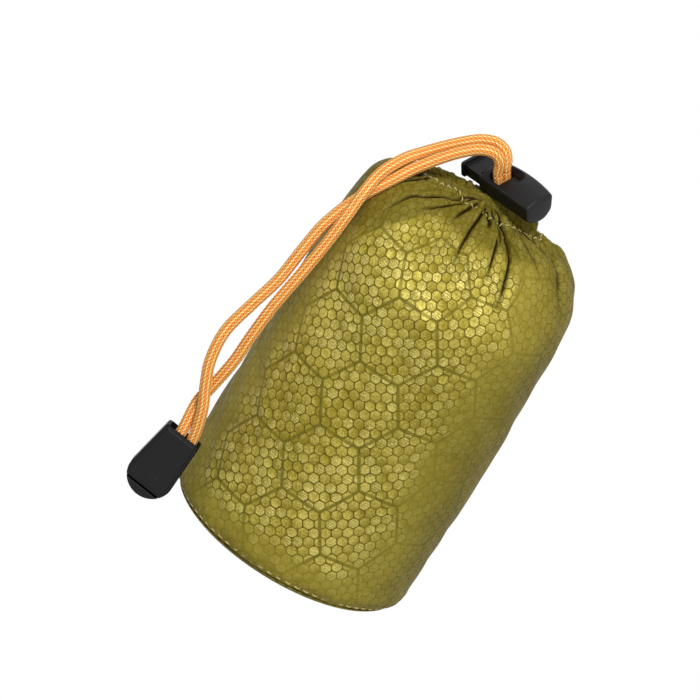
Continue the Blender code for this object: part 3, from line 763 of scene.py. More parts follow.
def read_at(read: Array, way: Array, points: Array) -> Array:
    """The line of points, which lie at ways along it, read at others."""
    return np.stack([np.interp(read, way, points[:, axis]) for axis in range(3)], axis=1)


def even_points(points: Array, spacing: float) -> Array:
    """The line of points read again at about even spacing."""
    way = way_along(points)
    count = max(2, int(round(way[-1] / spacing)) + 1)
    return read_at(np.linspace(0.0, way[-1], count), way, points)


def carried_sides(points: Array) -> tuple[Array, Array]:
    """Two sideways directions at each point of a line, carried along it without twist.

    Args:
        points: the line.

    Returns:
        The first and the second directions.
    """
    ahead = unit(np.gradient(points, axis=0))
    start = np.cross(ahead[0], (0.0, 0.0, 1.0))
    if np.linalg.norm(start) < 0.1:
        start = np.cross(ahead[0], (0.0, 1.0, 0.0))
    side = unit(start)
    sides = []
    for direction in ahead:
        side = unit(side - direction * np.dot(side, direction))
        sides.append(side)
    sides = np.array(sides)
    return sides, np.cross(ahead, sides)


def grid_mesh(
    name: str, points: Array, material: Material, flat: Array | None = None, closed: bool = False,
    left_out: Array | None = None, caps: bool = False, end_cap: bool = False, shade: Array | None = None,
) -> Object:
    """A mesh of quads on a grid of points.

    Args:
        name: the piece's name.
        points: the grid, as rows, columns and three coordinates.
        material: its finish.
        flat: each point's place on the flat cloth, with one more column than points if closed.
        closed: joins the last column to the first.
        left_out: which quads to leave out.
        caps: fills the first and last row, for a closed tube.
        end_cap: fills the last row alone.
        shade: painted shade for how deep in a fold each point lies, from 0 to 1, for the cloth's finish to
            read.

    Returns:
        The new object.
    """
    rows, columns = points.shape[:2]
    across = columns if closed else columns - 1
    row, column = np.meshgrid(np.arange(rows - 1), np.arange(across), indexing="ij")
    low, high, beside = row * columns, (row + 1) * columns, (column + 1) % columns
    quads = np.stack([low + column, low + beside, high + beside, high + column], axis=-1).reshape(-1, 4)
    kept = np.ones(len(quads), bool) if left_out is None else ~left_out.reshape(-1)
    faces = quads[kept].tolist()
    last_row = [(rows - 1) * columns + index for index in range(columns)]
    if caps:
        faces.append(list(reversed(range(columns))))
    if caps or end_cap:
        faces.append(last_row)
    mesh = bpy.data.meshes.new(name)
    mesh.from_pydata(points.reshape(-1, 3).tolist(), [], faces)
    if flat is not None:
        ahead, after = row + 1, column + 1
        corners = [flat[row, column], flat[row, after], flat[ahead, after], flat[ahead, column]]
        corners = np.stack(corners, axis=2).reshape(-1, 4, 2)[kept]
        laid = np.zeros((len(mesh.loops), 2))
        laid[: corners.shape[0] * 4] = corners.reshape(-1, 2)
        if end_cap:
            laid[-columns:] = flat[-1, :columns]
        mesh.uv_layers.new(name="flat").data.foreach_set("uv", laid.reshape(-1))
    # The painted fold shade goes to the cloth's finish as the fold attribute.
    if shade is not None:
        mesh.attributes.new("fold", "FLOAT", "POINT").data.foreach_set("value", shade.reshape(-1))
    return finished_mesh(name, mesh, material)


def finished_mesh(name: str, mesh: bpy.types.Mesh, material: Material) -> Object:
    """Make the mesh a smooth object of that name and finish in the scene."""
    mesh.shade_smooth()
    mesh.materials.append(material)
    made = bpy.data.objects.new(name, mesh)
    bpy.context.scene.collection.objects.link(made)
    return made


def thicken(made: Object, thickness: float) -> None:
    """Give a surface a thickness behind it."""
    modifier = made.modifiers.new("thickness", "SOLIDIFY")
    modifier.thickness = thickness
    modifier.offset = -1.0


def tube_mesh(
    name: str, line: Array, radius: Array | float, material: Material, around: int,
    relief: Callable[[Array, Array], Array] | None = None,
) -> Object:
    """A round tube along a line, with closed ends.

    Args:
        name: the piece's name.
        line: its centre line.
        radius: its radius, or one for each point.
        material: its finish.
        around: how many points go round it.
        relief: a function of the share of a turn and the way along, for what to add to the radius.

    Returns:
        The new object.
    """
    side, other = carried_sides(line)
    way = way_along(line)[:, None]
    share = (np.arange(around + 1) / around)[None, :]
    radii = np.broadcast_to(np.asarray(radius, dtype=float).reshape(-1, 1), (len(line), around))
    if relief is not None:
        radii = radii + relief(share[:, :-1], way)
    angle = FULL_TURN * share[:, :-1, None]
    out = np.cos(angle) * side[:, None] + np.sin(angle) * other[:, None]
    points = line[:, None] + radii[..., None] * out
    flat = np.stack(np.broadcast_arrays(share, way), axis=-1)
    return grid_mesh(name, points, material, flat, closed=True, caps=True)


def stitch_row(
    name: str, line: Array, outward: Array, material: Material, length: float, gap: float, radius: float
) -> Object:
    """A row of sewn stitches, each a short thread that comes up and goes down again.

    Args:
        name: the piece's name.
        line: the seam's line on the cloth.
        outward: the way out of the cloth at each of its points.
        material: the thread's finish.
        length: a stitch's length.
        gap: the cloth between two stitches.
        radius: the thread's radius.

    Returns:
        The new object.
    """
    way = way_along(line)
    count = max(1, int(way[-1] / (length + gap)))
    pitch = way[-1] / count
    length = length * pitch / (length + gap)
    steps, around = 7, 8
    angle = (FULL_TURN * np.arange(around) / around)[:, None]
    verts: list[Array] = []
    faces: list[tuple[int, ...]] = []
    for index in range(count):
        read = index * pitch + length * np.linspace(0.0, 1.0, steps)
        centre = read_at(read, way, line)
        up = unit(read_at(read, way, outward))
        lift = np.sin(np.linspace(0.0, math.pi, steps)) ** 0.5
        centre = centre + up * (radius * (1.3 * lift - 0.9))[:, None]
        beside = unit(np.cross(np.gradient(centre, axis=0), up))
        base = len(verts) * around
        for step in range(steps):
            fat = radius * (0.55 + 0.45 * lift[step])
            out = np.cos(angle) * beside[step] + np.sin(angle) * up[step]
            verts.append(centre[step] + fat * out)
        for step in range(steps - 1):
            low = base + step * around
            for corner in range(around):
                after = (corner + 1) % around
                faces.append((low + corner, low + after, low + around + after, low + around + corner))
        faces.append(tuple(base + corner for corner in reversed(range(around))))
        faces.append(tuple(base + (steps - 1) * around + corner for corner in range(around)))
    mesh = bpy.data.meshes.new(name)
    mesh.from_pydata(np.vstack(verts).tolist(), [], faces)
    return finished_mesh(name, mesh, material)


def ring_solid(name: str, rings: list[Array], material: Material) -> Object:
    """A closed solid through a stack of rings of points, each anticlockwise as seen from the last ring."""
    return grid_mesh(name, np.array(rings), material, closed=True, caps=True)


def at_height(outline: Array, up: float) -> Array:
    """The flat outline's points, laid at a height."""
    return np.column_stack([outline, np.full(len(outline), up)])


def rounded_corners(corners: list[Point], steps: int = 7) -> Array:
    """The points of a closed flat outline with rounded corners.

    Args:
        corners: each corner's two coordinates and how far from it the rounding starts, anticlockwise.
        steps: how many points each rounded corner has.

    Returns:
        The points.
    """
    places = np.array([corner[:2] for corner in corners])
    drawn = []
    for index, (_, _, reach) in enumerate(corners):
        here = places[index]
        start = here + unit(places[index - 1] - here) * reach
        end = here + unit(places[(index + 1) % len(places)] - here) * reach
        for share in np.linspace(0.0, 1.0, steps if reach > 0.0 else 1):
            drawn.append((1.0 - share) ** 2 * start + 2.0 * share * (1.0 - share) * here + share**2 * end)
    return np.array(drawn)


def filled_in(outline: Array, spacing: float, like: Array | None = None) -> Array:
    """The closed outline with points added so that none stand further apart than the spacing.

    Args:
        outline: the outline's points.
        spacing: the most between two points.
        like: another outline of as many points, whose spacing settles how many are added.

    Returns:
        The outline.
    """
    like = outline if like is None else like
    gaps = np.linalg.norm(np.roll(like, -1, axis=0) - like, axis=1)
    dense = []
    for point, after, gap in zip(outline, np.roll(outline, -1, axis=0), gaps):
        count = max(1, int(math.ceil(gap / spacing)))
        dense += [point + (after - point) * step / count for step in range(count)]
    return np.array(dense)


def rounded_outline(corners: list[Point], spacing: float, steps: int = 7) -> Array:
    """A closed flat outline with rounded corners and points no further apart than the spacing."""
    return filled_in(rounded_corners(corners, steps), spacing)


def inset(outline: Array, depth: float) -> Array:
    """The closed outline moved in by a depth, or out where the depth is negative."""
    along = unit(np.roll(outline, -1, axis=0) - outline)
    before = np.roll(along, 1, axis=0)
    mean = unit(along + before)
    inward = np.stack([-mean[:, 1], mean[:, 0]], axis=1)
    bend = np.maximum(0.5, dots(mean, along))
    return outline + inward * (depth / bend)[:, None]


def rounded_edge(radius: float, rising: bool, steps: int = 5) -> list[Span]:
    """Pairs of inset and distance from the face for a rounded edge, towards the face if rising."""
    angles = np.linspace(0.0, math.pi / 2.0, steps)
    pairs = [(radius * (1.0 - math.cos(angle)), radius * (1.0 - math.sin(angle))) for angle in angles]
    return pairs if rising else pairs[::-1]


def cut(made: Object, cutter: Object, operation: str = "DIFFERENCE") -> None:
    """Cut one solid by another, or join them, and remove the other."""
    modifier = made.modifiers.new("cut", "BOOLEAN")
    modifier.object = cutter
    modifier.operation = operation
    modifier.solver = "EXACT"
    bpy.context.view_layer.update()
    shaped = made.evaluated_get(bpy.context.evaluated_depsgraph_get())
    mesh = bpy.data.meshes.new_from_object(shaped)
    made.modifiers.clear()
    made.data = mesh
    bpy.data.objects.remove(cutter)


def settle(made: Object, place: Matrix) -> Object:
    """Put a solid made at the origin in its place, and keep its moulded edges crisp."""
    made.data.transform(place)
    made.data.shade_smooth()
    made.data.set_sharp_from_angle(angle=SHARP_EDGE)
    return made


def mount(made: Object, body: Body, slot: Slot, *nodes: str) -> Object:
    """Make a piece ride on a body and let it stand for CAD nodes, which it hides."""
    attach(made, body.value)
    if nodes:
        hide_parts(*nodes)
    log.info("%s: %d faces on %s", made.name, len(made.data.polygons), body.value)
    return made


@dataclass
class Studio:
    """The camera at the photograph's angle, soft lamps and a plain pale floor.

    A lamp is given by its ways back, right and up from the sack's middle, its side and its power in
    watts, and the soft light of the world by its direction in the same three.
    """

    look_at: Vector = field(default_factory=lambda: Vector((-12.1, 0.0, 56.1)) * MM)
    distance: float = 8.0
    elevation: float = math.radians(20.9)
    roll: float = math.radians(31.8)
    view_width: float = 187.0 * MM
    sensor: float = 36.0
    floor_size: float = 6.0
    floor_grey: float = 0.45
    floor_roughness: float = 0.9
    floor_glow: float = 1.04
    floor_glow_share: float = 0.95
    key_lamp: tuple[float, ...] = (0.85, 0.22, 0.42, 0.26, 6.3)
    fill_lamp: tuple[float, ...] = (0.6, 0.9, -0.1, 0.5, 0.8)
    soft_box: tuple[float, ...] = (0.8, 0.35, 0.3)
    soft_box_ends: Span = (-0.5, 0.9)
    least_light: float = 0.15
    most_light: float = 0.52

    def axes(self) -> tuple[Vector, Vector, Vector]:
        """The camera's directions to the right, up and back."""
        right = Vector((1.0, 0.0, 0.0))
        up = Vector((0.0, math.sin(self.elevation), math.cos(self.elevation)))
        back = Vector((0.0, -math.cos(self.elevation), math.sin(self.elevation)))
        turned_right = math.cos(self.roll) * right + math.sin(self.roll) * up
        turned_up = math.cos(self.roll) * up - math.sin(self.roll) * right
        return turned_right, turned_up, back

    def make_camera(self) -> None:
        """Set up the camera."""
        right, up, back = self.axes()
        data = bpy.data.cameras.new("camera")
        data.sensor_width = self.sensor
        data.lens = self.sensor * self.distance / self.view_width
        data.clip_start = 0.01
        data.clip_end = 50.0
        camera = bpy.data.objects.new("camera", data)
        place = self.look_at + back * self.distance
        camera.matrix_world = Matrix.Translation(place) @ Matrix((right, up, back)).transposed().to_4x4()
        bpy.context.scene.collection.objects.link(camera)
        bpy.context.scene.camera = camera

    def towards(self, back: float, right: float, up: float) -> Vector:
        """The way from the sack's middle so far back, right and up, as the camera sees it."""
        to_right, to_up, to_back = self.axes()
        return to_back * back + to_right * right + to_up * up

    def add_lamp(self, name: str, values: tuple[float, ...]) -> None:
        """Add a square lamp that points at the sack, by its name and its values as above."""
        data = bpy.data.lights.new(name, "AREA")
        data.size, data.energy = values[3:]
        lamp = bpy.data.objects.new(name, data)
        lamp.location = self.look_at + self.towards(*values[:3])
        lamp.rotation_euler = (self.look_at - lamp.location).to_track_quat("-Z", "Y").to_euler()
        bpy.context.scene.collection.objects.link(lamp)

    def make_lights(self) -> None:
        """Set up the lamps and the world."""
        self.add_lamp("key_lamp", self.key_lamp)
        self.add_lamp("fill_lamp", self.fill_lamp)
        world = bpy.data.worlds.new("studio")
        world.use_nodes = True
        bpy.context.scene.world = world
        nodes = Nodes(world.node_tree)
        background = world.node_tree.nodes["Background"]
        background.inputs["Color"].default_value = (1.0, 1.0, 1.0, 1.0)
        way = nodes.add("ShaderNodeTexCoord").outputs["Generated"]
        soft_box = self.towards(*self.soft_box).normalized()
        share = nodes.step(nodes.vector("DOT_PRODUCT", way, tuple(soft_box)), *self.soft_box_ends)
        around = nodes.blend(share, self.least_light, self.most_light)
        nodes.feed(background.inputs["Strength"], nodes.blend(nodes.in_view(), around, 1.0))

    def make_floor(self) -> None:
        """Lay a pale floor that shows white and keeps a soft shadow."""
        half = self.floor_size / 2.0
        mesh = bpy.data.meshes.new("floor")
        corners = [(-half, -half, 0.0), (half, -half, 0.0), (half, half, 0.0), (-half, half, 0.0)]
        mesh.from_pydata(corners, [], [(0, 1, 2, 3)])
        made = Surface("floor_paper", self.floor_roughness)
        made.set("Base Color", (self.floor_grey,) * 3)
        glow = made.add("ShaderNodeEmission")
        glow.inputs["Strength"].default_value = self.floor_glow
        mixed = made.add("ShaderNodeMixShader")
        share = made.times(made.in_view(), self.floor_glow_share)
        made.feed_all(mixed, share, made.shader.outputs[0], glow.outputs[0])
        made.feed(made.tree.nodes["Material Output"].inputs["Surface"], mixed.outputs[0])
        finished_mesh("floor", mesh, made.material)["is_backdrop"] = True

    def make(self) -> None:
        """Set up the whole studio."""
        bpy.context.scene.view_settings.view_transform = "Standard"
        self.make_camera()
        self.make_lights()
        self.make_floor()
        log.info("studio: camera, two lamps, world and floor")


@dataclass
class LockPlace:
    """Where the cord lock sits, and its cords' ways through it."""

    corner: Vector = field(default_factory=lambda: Vector((-7.3, -0.8, 117.9)) * MM)
    turn: Euler = field(
        default_factory=lambda: Euler((math.radians(31.9), math.radians(-9.9), math.radians(-36.4)))
    )
    length: float = 19.7 * MM
    width: float = 9.1 * MM
    depth: float = 6.3 * MM
    crown: float = 0.9 * MM
    gap: float = 0.14 * MM
    cord_station: float = 4.2 * MM
    cord_pitch: float = 2.8 * MM
    under_across: tuple[float, ...] = (0.0, 2.8 * MM, 6.2 * MM, 9.1 * MM)
    under_up: tuple[float, ...] = (-4.4 * MM, -6.3 * MM, -6.3 * MM, -4.0 * MM)
    past_plunger: float = 3.0 * MM
    past_sides: float = 0.6 * MM

    def frame(self) -> Matrix:
        """The lock's axes: X along it from the plunger, Y across it and Z out of its top."""
        return Matrix.Translation(self.corner) @ self.turn.to_matrix().to_4x4()

    def duck(self, points: Array) -> Array:
        """The points, with those too near the lock's underside moved down to clear it."""
        axes = np.array(self.turn.to_matrix())
        low = (points - np.array(self.corner)) @ axes
        under = np.interp(low[:, 1], self.under_across, self.under_up)
        inside = (low[:, 0] > -self.past_plunger) & (low[:, 0] < self.length + self.past_sides)
        inside &= (low[:, 1] > -self.past_sides) & (low[:, 1] < self.width + self.past_sides)
        over = np.where(inside, np.maximum(0.0, low[:, 2] - under + self.gap), 0.0)
        return points - over[:, None] * axes[:, 2]

    def cord_point(self, side: float, up: float) -> Vector:
        """A point on a cord's way through the lock, by its side, -1 or 1, and its height."""
        across = self.width / 2.0 + side * self.cord_pitch / 2.0
        return self.frame() @ Vector((self.cord_station, across, up))


@dataclass
class ClipPlace:
    """Where the end clip hangs."""

    centre: Vector = field(default_factory=lambda: Vector((-39.6, -27.9, 7.0)) * MM)
    lean: float = math.radians(7.0)

    def frame(self) -> Matrix:
        """The clip's axes: X across it, Y up it and Z out of its cover."""
        turn = Euler((math.pi / 2.0, self.lean, 0.0))
        return Matrix.Translation(self.centre) @ turn.to_matrix().to_4x4()

    def cord_point(self, across: float, height: float) -> Vector:
        """A point on a cord's way inside the clip."""
        return self.frame() @ Vector((across, height, 0.0))


@dataclass(frozen=True)
class Tail:
    """One free end of the drawcord: its side of the lock, its place in the clip and its route."""

    name: str
    node: str
    side: float
    length: float
    across: float
    route: tuple[Point, ...]


def millimetres(points: list[Point]) -> list[Vector]:
    """Points given in millimetres, in metres."""
    return [Vector(point) * MM for point in points]


@dataclass
class Drawcord:
    """The braided drawcord: two free ends, the run in the hem and the knot in the clip."""

    lock: LockPlace
    clip: ClipPlace
    on_it: list[Object]
    material: Material
    braid: BraidFinish = field(default_factory=BraidFinish)
    radius: float = 1.6 * MM
    pinched: float = 1.3 * MM
    recovery: float = 4.5 * MM
    relief: float = 0.2 * MM
    clip_half_pitch: float = 1.8 * MM
    clip_entry: float = 14.7 * MM
    clip_end: float = 3.9 * MM
    in_hem: float = 1.35 * MM
    spacing: float = 0.22 * MM
    around: int = 44
    knot_size: Point = (2.15 * MM, 1.25 * MM, 0.62 * MM)
    knot_radius: float = 0.85 * MM
    lines: list[Array] = field(default_factory=list)
    tails: tuple[Tail, ...] = (
        Tail(
            "cord_tail_outer", "drawcord_tail_outer", 1.0, 142.5 * MM, -1.0 * MM,
            (
                (-0.0033, 0.0004, 0.1257), (-0.0052, 0.0006, 0.1275), (-0.0079, 0.0006, 0.1281),
                (-0.0109, 0.0004, 0.1271), (-0.0138, -0.0001, 0.1252), (-0.0185, -0.0017, 0.1211),
                (-0.0232, -0.0043, 0.1167), (-0.0268, -0.0075, 0.1132), (-0.0299, -0.0121, 0.1082),
                (-0.0311, -0.0163, 0.1022), (-0.0316, -0.0189, 0.0954), (-0.0323, -0.0203, 0.0868),
                (-0.0338, -0.0217, 0.0756), (-0.0356, -0.0229, 0.0636), (-0.0364, -0.0235, 0.0532),
                (-0.0368, -0.0237, 0.0450), (-0.0383, -0.0242, 0.0356), (-0.0394, -0.0254, 0.0300),
            ),
        ),
        Tail(
            "cord_tail_inner", "drawcord_tail_inner", -1.0, 140.2 * MM, 2.6 * MM,
            (
                (-0.0043, -0.0025, 0.1247), (-0.0058, -0.0032, 0.1264), (-0.0079, -0.0037, 0.1268),
                (-0.0103, -0.0042, 0.1261), (-0.0129, -0.0046, 0.1243), (-0.0171, -0.0056, 0.1201),
                (-0.0224, -0.0075, 0.1135), (-0.0262, -0.0100, 0.1078), (-0.0306, -0.0131, 0.1010),
                (-0.0334, -0.0157, 0.0957), (-0.0358, -0.0181, 0.0886), (-0.0370, -0.0198, 0.0803),
                (-0.0382, -0.0217, 0.0707), (-0.0407, -0.0237, 0.0615), (-0.0430, -0.0262, 0.0520),
                (-0.0423, -0.0279, 0.0434), (-0.0399, -0.0284, 0.0367), (-0.0371, -0.0287, 0.0303),
            ),
        ),
    )

    def stand(self, share: Array, way: Array) -> Array:
        """What the strands add to the cord's radius at a place on it."""
        return self.relief * (self.braid.crown(share, way) - 0.75)

    def tail_route(self, tail: Tail) -> list[Vector]:
        """The points of a tail's route, from the lock's top to the knot."""
        start = self.lock.crown + 0.6 * MM
        route = [self.lock.cord_point(tail.side, start)]
        route.append(self.lock.cord_point(tail.side, start + self.radius / 2.0))
        route += [Vector(point) for point in tail.route]
        end = math.copysign(self.clip_half_pitch, tail.across)
        for share in (0.0, 0.45, 1.0):
            height = self.clip_entry + (self.clip_end - self.clip_entry) * share
            route.append(self.clip.cord_point(tail.across + (end - tail.across) * share, height))
        return route

    def recovered(self, way: Array) -> Array:
        """The cord's radius at distances from where the lock pinches it."""
        return self.pinched + (self.radius - self.pinched) * np.minimum(1.0, way / self.recovery)

    def make_tail(self, tail: Tail) -> Object:
        """Args:
            tail: which one.

        Returns:
            The cord's mesh.
        """
        route = self.tail_route(tail)
        line = even_points(smooth_route(route, 12), self.spacing)
        self.lines.append(even_points(line, 0.8 * MM))
        radius = self.recovered(np.linalg.norm(line - line[0], axis=1))
        made = tube_mesh(tail.name, line, radius, self.material, self.around, self.stand)
        mount(made, Body.SACK, Slot.CORD, tail.node)
        path = [tuple(point) for point in even_points(line, 3.0 * MM)]
        tuple(route[0])
        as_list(self.on_it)
        return made

    def make_knot(self) -> Object:
        """Tie the two ends together inside the clip, as a knot of one folded strand."""
        wide, tall, thick = self.knot_size
        turn = np.linspace(0.0, FULL_TURN, 160)
        across = wide * (np.sin(turn) + 0.62 * np.sin(2.0 * turn)) * 0.8
        along = tall * (np.cos(turn) - 0.75 * np.cos(2.0 * turn)) * 0.8
        out = -thick * np.sin(3.0 * turn)
        low = np.stack([across, along + 0.8 * MM, out], axis=1)
        place = np.array(self.clip.frame())
        line = low @ place[:3, :3].T + place[:3, 3]
        made = tube_mesh("cord_knot", line, self.knot_radius, self.material, 28, self.stand)
        return mount(made, Body.SACK, Slot.CORD, "cord_end_knot")

    def make_run(self, loop: "HemLoop") -> Object:
        """Make the run from the lock round inside the hem and back.

        Args:
            loop: the hem's line, which the cord lies in.

        Returns:
            The cord's mesh.
        """
        top = self.lock.crown + 0.3 * MM
        foot = -self.lock.depth - 0.8 * MM
        back = Vector((0.0, loop.half_width, loop.height))
        left = [(1.0, -2.0, 2.0), (1.0, -1.4, 1.3), (0.5, -0.7, 0.6), (-0.6, -0.2, 0.2)]
        right = [(6.9, 0.1, -0.1), (4.9, 0.5, 0.8), (3.8, 0.7, 1.9), (2.7, 0.2, 3.1)]
        down = [self.lock.cord_point(-1.0, foot)]
        down += [back + point for point in millimetres(left)]
        down = smooth_route(down + [loop.arched(-2.6 * MM, loop.half_width)], 8)
        up = [back + point for point in millimetres(right)] + [self.lock.cord_point(1.0, foot)]
        up = smooth_route([loop.arched(9.2 * MM, loop.half_width)] + up, 8)
        inside = loop.points(down[-1][0], up[0][0])
        ends = [np.array([self.lock.cord_point(side, top)]) for side in (-1.0, 1.0)]
        line = even_points(np.vstack([ends[0], down, inside, up, ends[1]]), 2.0 * self.spacing)
        feet = [np.array(self.lock.cord_point(side, foot)) for side in (-1.0, 1.0)]
        away = np.minimum(*[np.linalg.norm(line - end, axis=1) for end in feet])
        radius = np.minimum(self.recovered(away), self.in_hem)
        up_through = (line - np.array(self.lock.corner)) @ np.array(self.lock.frame().col[2])[:3]
        radius[up_through > -self.lock.depth] = self.pinched
        made = tube_mesh("cord_in_hem", line, radius, self.material, 36, self.stand)
        return mount(made, Body.SACK, Slot.CORD, "drawcord_casing_run")

    def make(self) -> None:
        """Make the free ends and the knot; the run follows with the hem."""
        for tail in self.tails:
            self.make_tail(tail)
        self.make_knot()


@dataclass
class HemLoop:
    """The middle line of the hem round the drawn mouth, a slim loop that sinks at its ends."""

    centre: float = -3.0 * MM
    half_length: float = 14.5 * MM
    half_width: float = 4.2 * MM
    height: float = 111.5 * MM
    drop: float = 2.5 * MM
    steps: int = 24

    def ends(self) -> Span:
        """Where the straight sides begin and end, across."""
        return self.centre - self.half_length, self.centre + self.half_length

    def reach(self) -> float:
        """How far the loop reaches to each side of its centre."""
        return self.half_length + self.half_width

    def arched(self, across: float, along: float) -> Vector:
        """A point over the mouth at the hem's height there."""
        share = min(1.0, abs(across - self.centre) / self.reach())
        return Vector((across, along, self.height - self.drop * share**2))

    def nearest(self, points: Array) -> Array:
        """The points of the line that are nearest to these points."""
        across = points[..., 0] - self.centre
        end = np.clip(across, -self.half_length, self.half_length)
        beside = np.stack([across - end, points[..., 1]], axis=-1)
        scale = self.half_width / np.maximum(np.linalg.norm(beside, axis=-1), 1e-9)
        across = end + beside[..., 0] * scale
        sunk = self.drop * np.minimum(1.0, np.abs(across) / self.reach()) ** 2
        return np.stack([self.centre + across, beside[..., 1] * scale, self.height - sunk], axis=-1)

    def bend(self, side: float) -> list[Vector]:
        """The half circle at one end, anticlockwise from above."""
        start = -math.pi / 2.0 if side > 0 else math.pi / 2.0
        radius = self.half_width
        middle = self.centre + side * self.half_length
        angles = [start + math.pi * step / self.steps for step in range(self.steps + 1)]
        return [self.arched(middle + radius * math.cos(angle), radius * math.sin(angle)) for angle in angles]

    def straight(self, start: float, end: float, along: float) -> list[Vector]:
        """Points between two ends of a straight side."""
        shares = range(1, self.steps)
        return [self.arched(start + (end - start) * step / self.steps, along) for step in shares]

    def points(self, start: float, end: float) -> Array:
        """The line from a place on the back side round the left end and front to another.

        Args:
            start: where it begins, across the back side.
            end: where it ends, across the back side.

        Returns:
            The points.
        """
        left, right = self.ends()
        loop = self.straight(start, left, self.half_width)
        loop += self.bend(-1.0)
        loop += self.straight(left, right, -self.half_width)
        loop += self.bend(1.0)
        loop += self.straight(right, end, self.half_width)
        return np.array([tuple(point) for point in loop])


@dataclass(frozen=True)
class Crease:
    """A fold in the cloth, from its deep end to where it runs out, by places on the sack.

    A place is a turn in degrees and a level: a height in millimetres up to the wall's top, and above
    it the wall's height plus the climb over the shoulder in degrees. The width is that of the slit at
    its bottom, and the slack how far the cloth rolls into it, in millimetres as the depth is.
    """

    places: tuple[Span, ...]
    width: float
    depth: float
    slack: float = 1.3
    side: float = 1.0


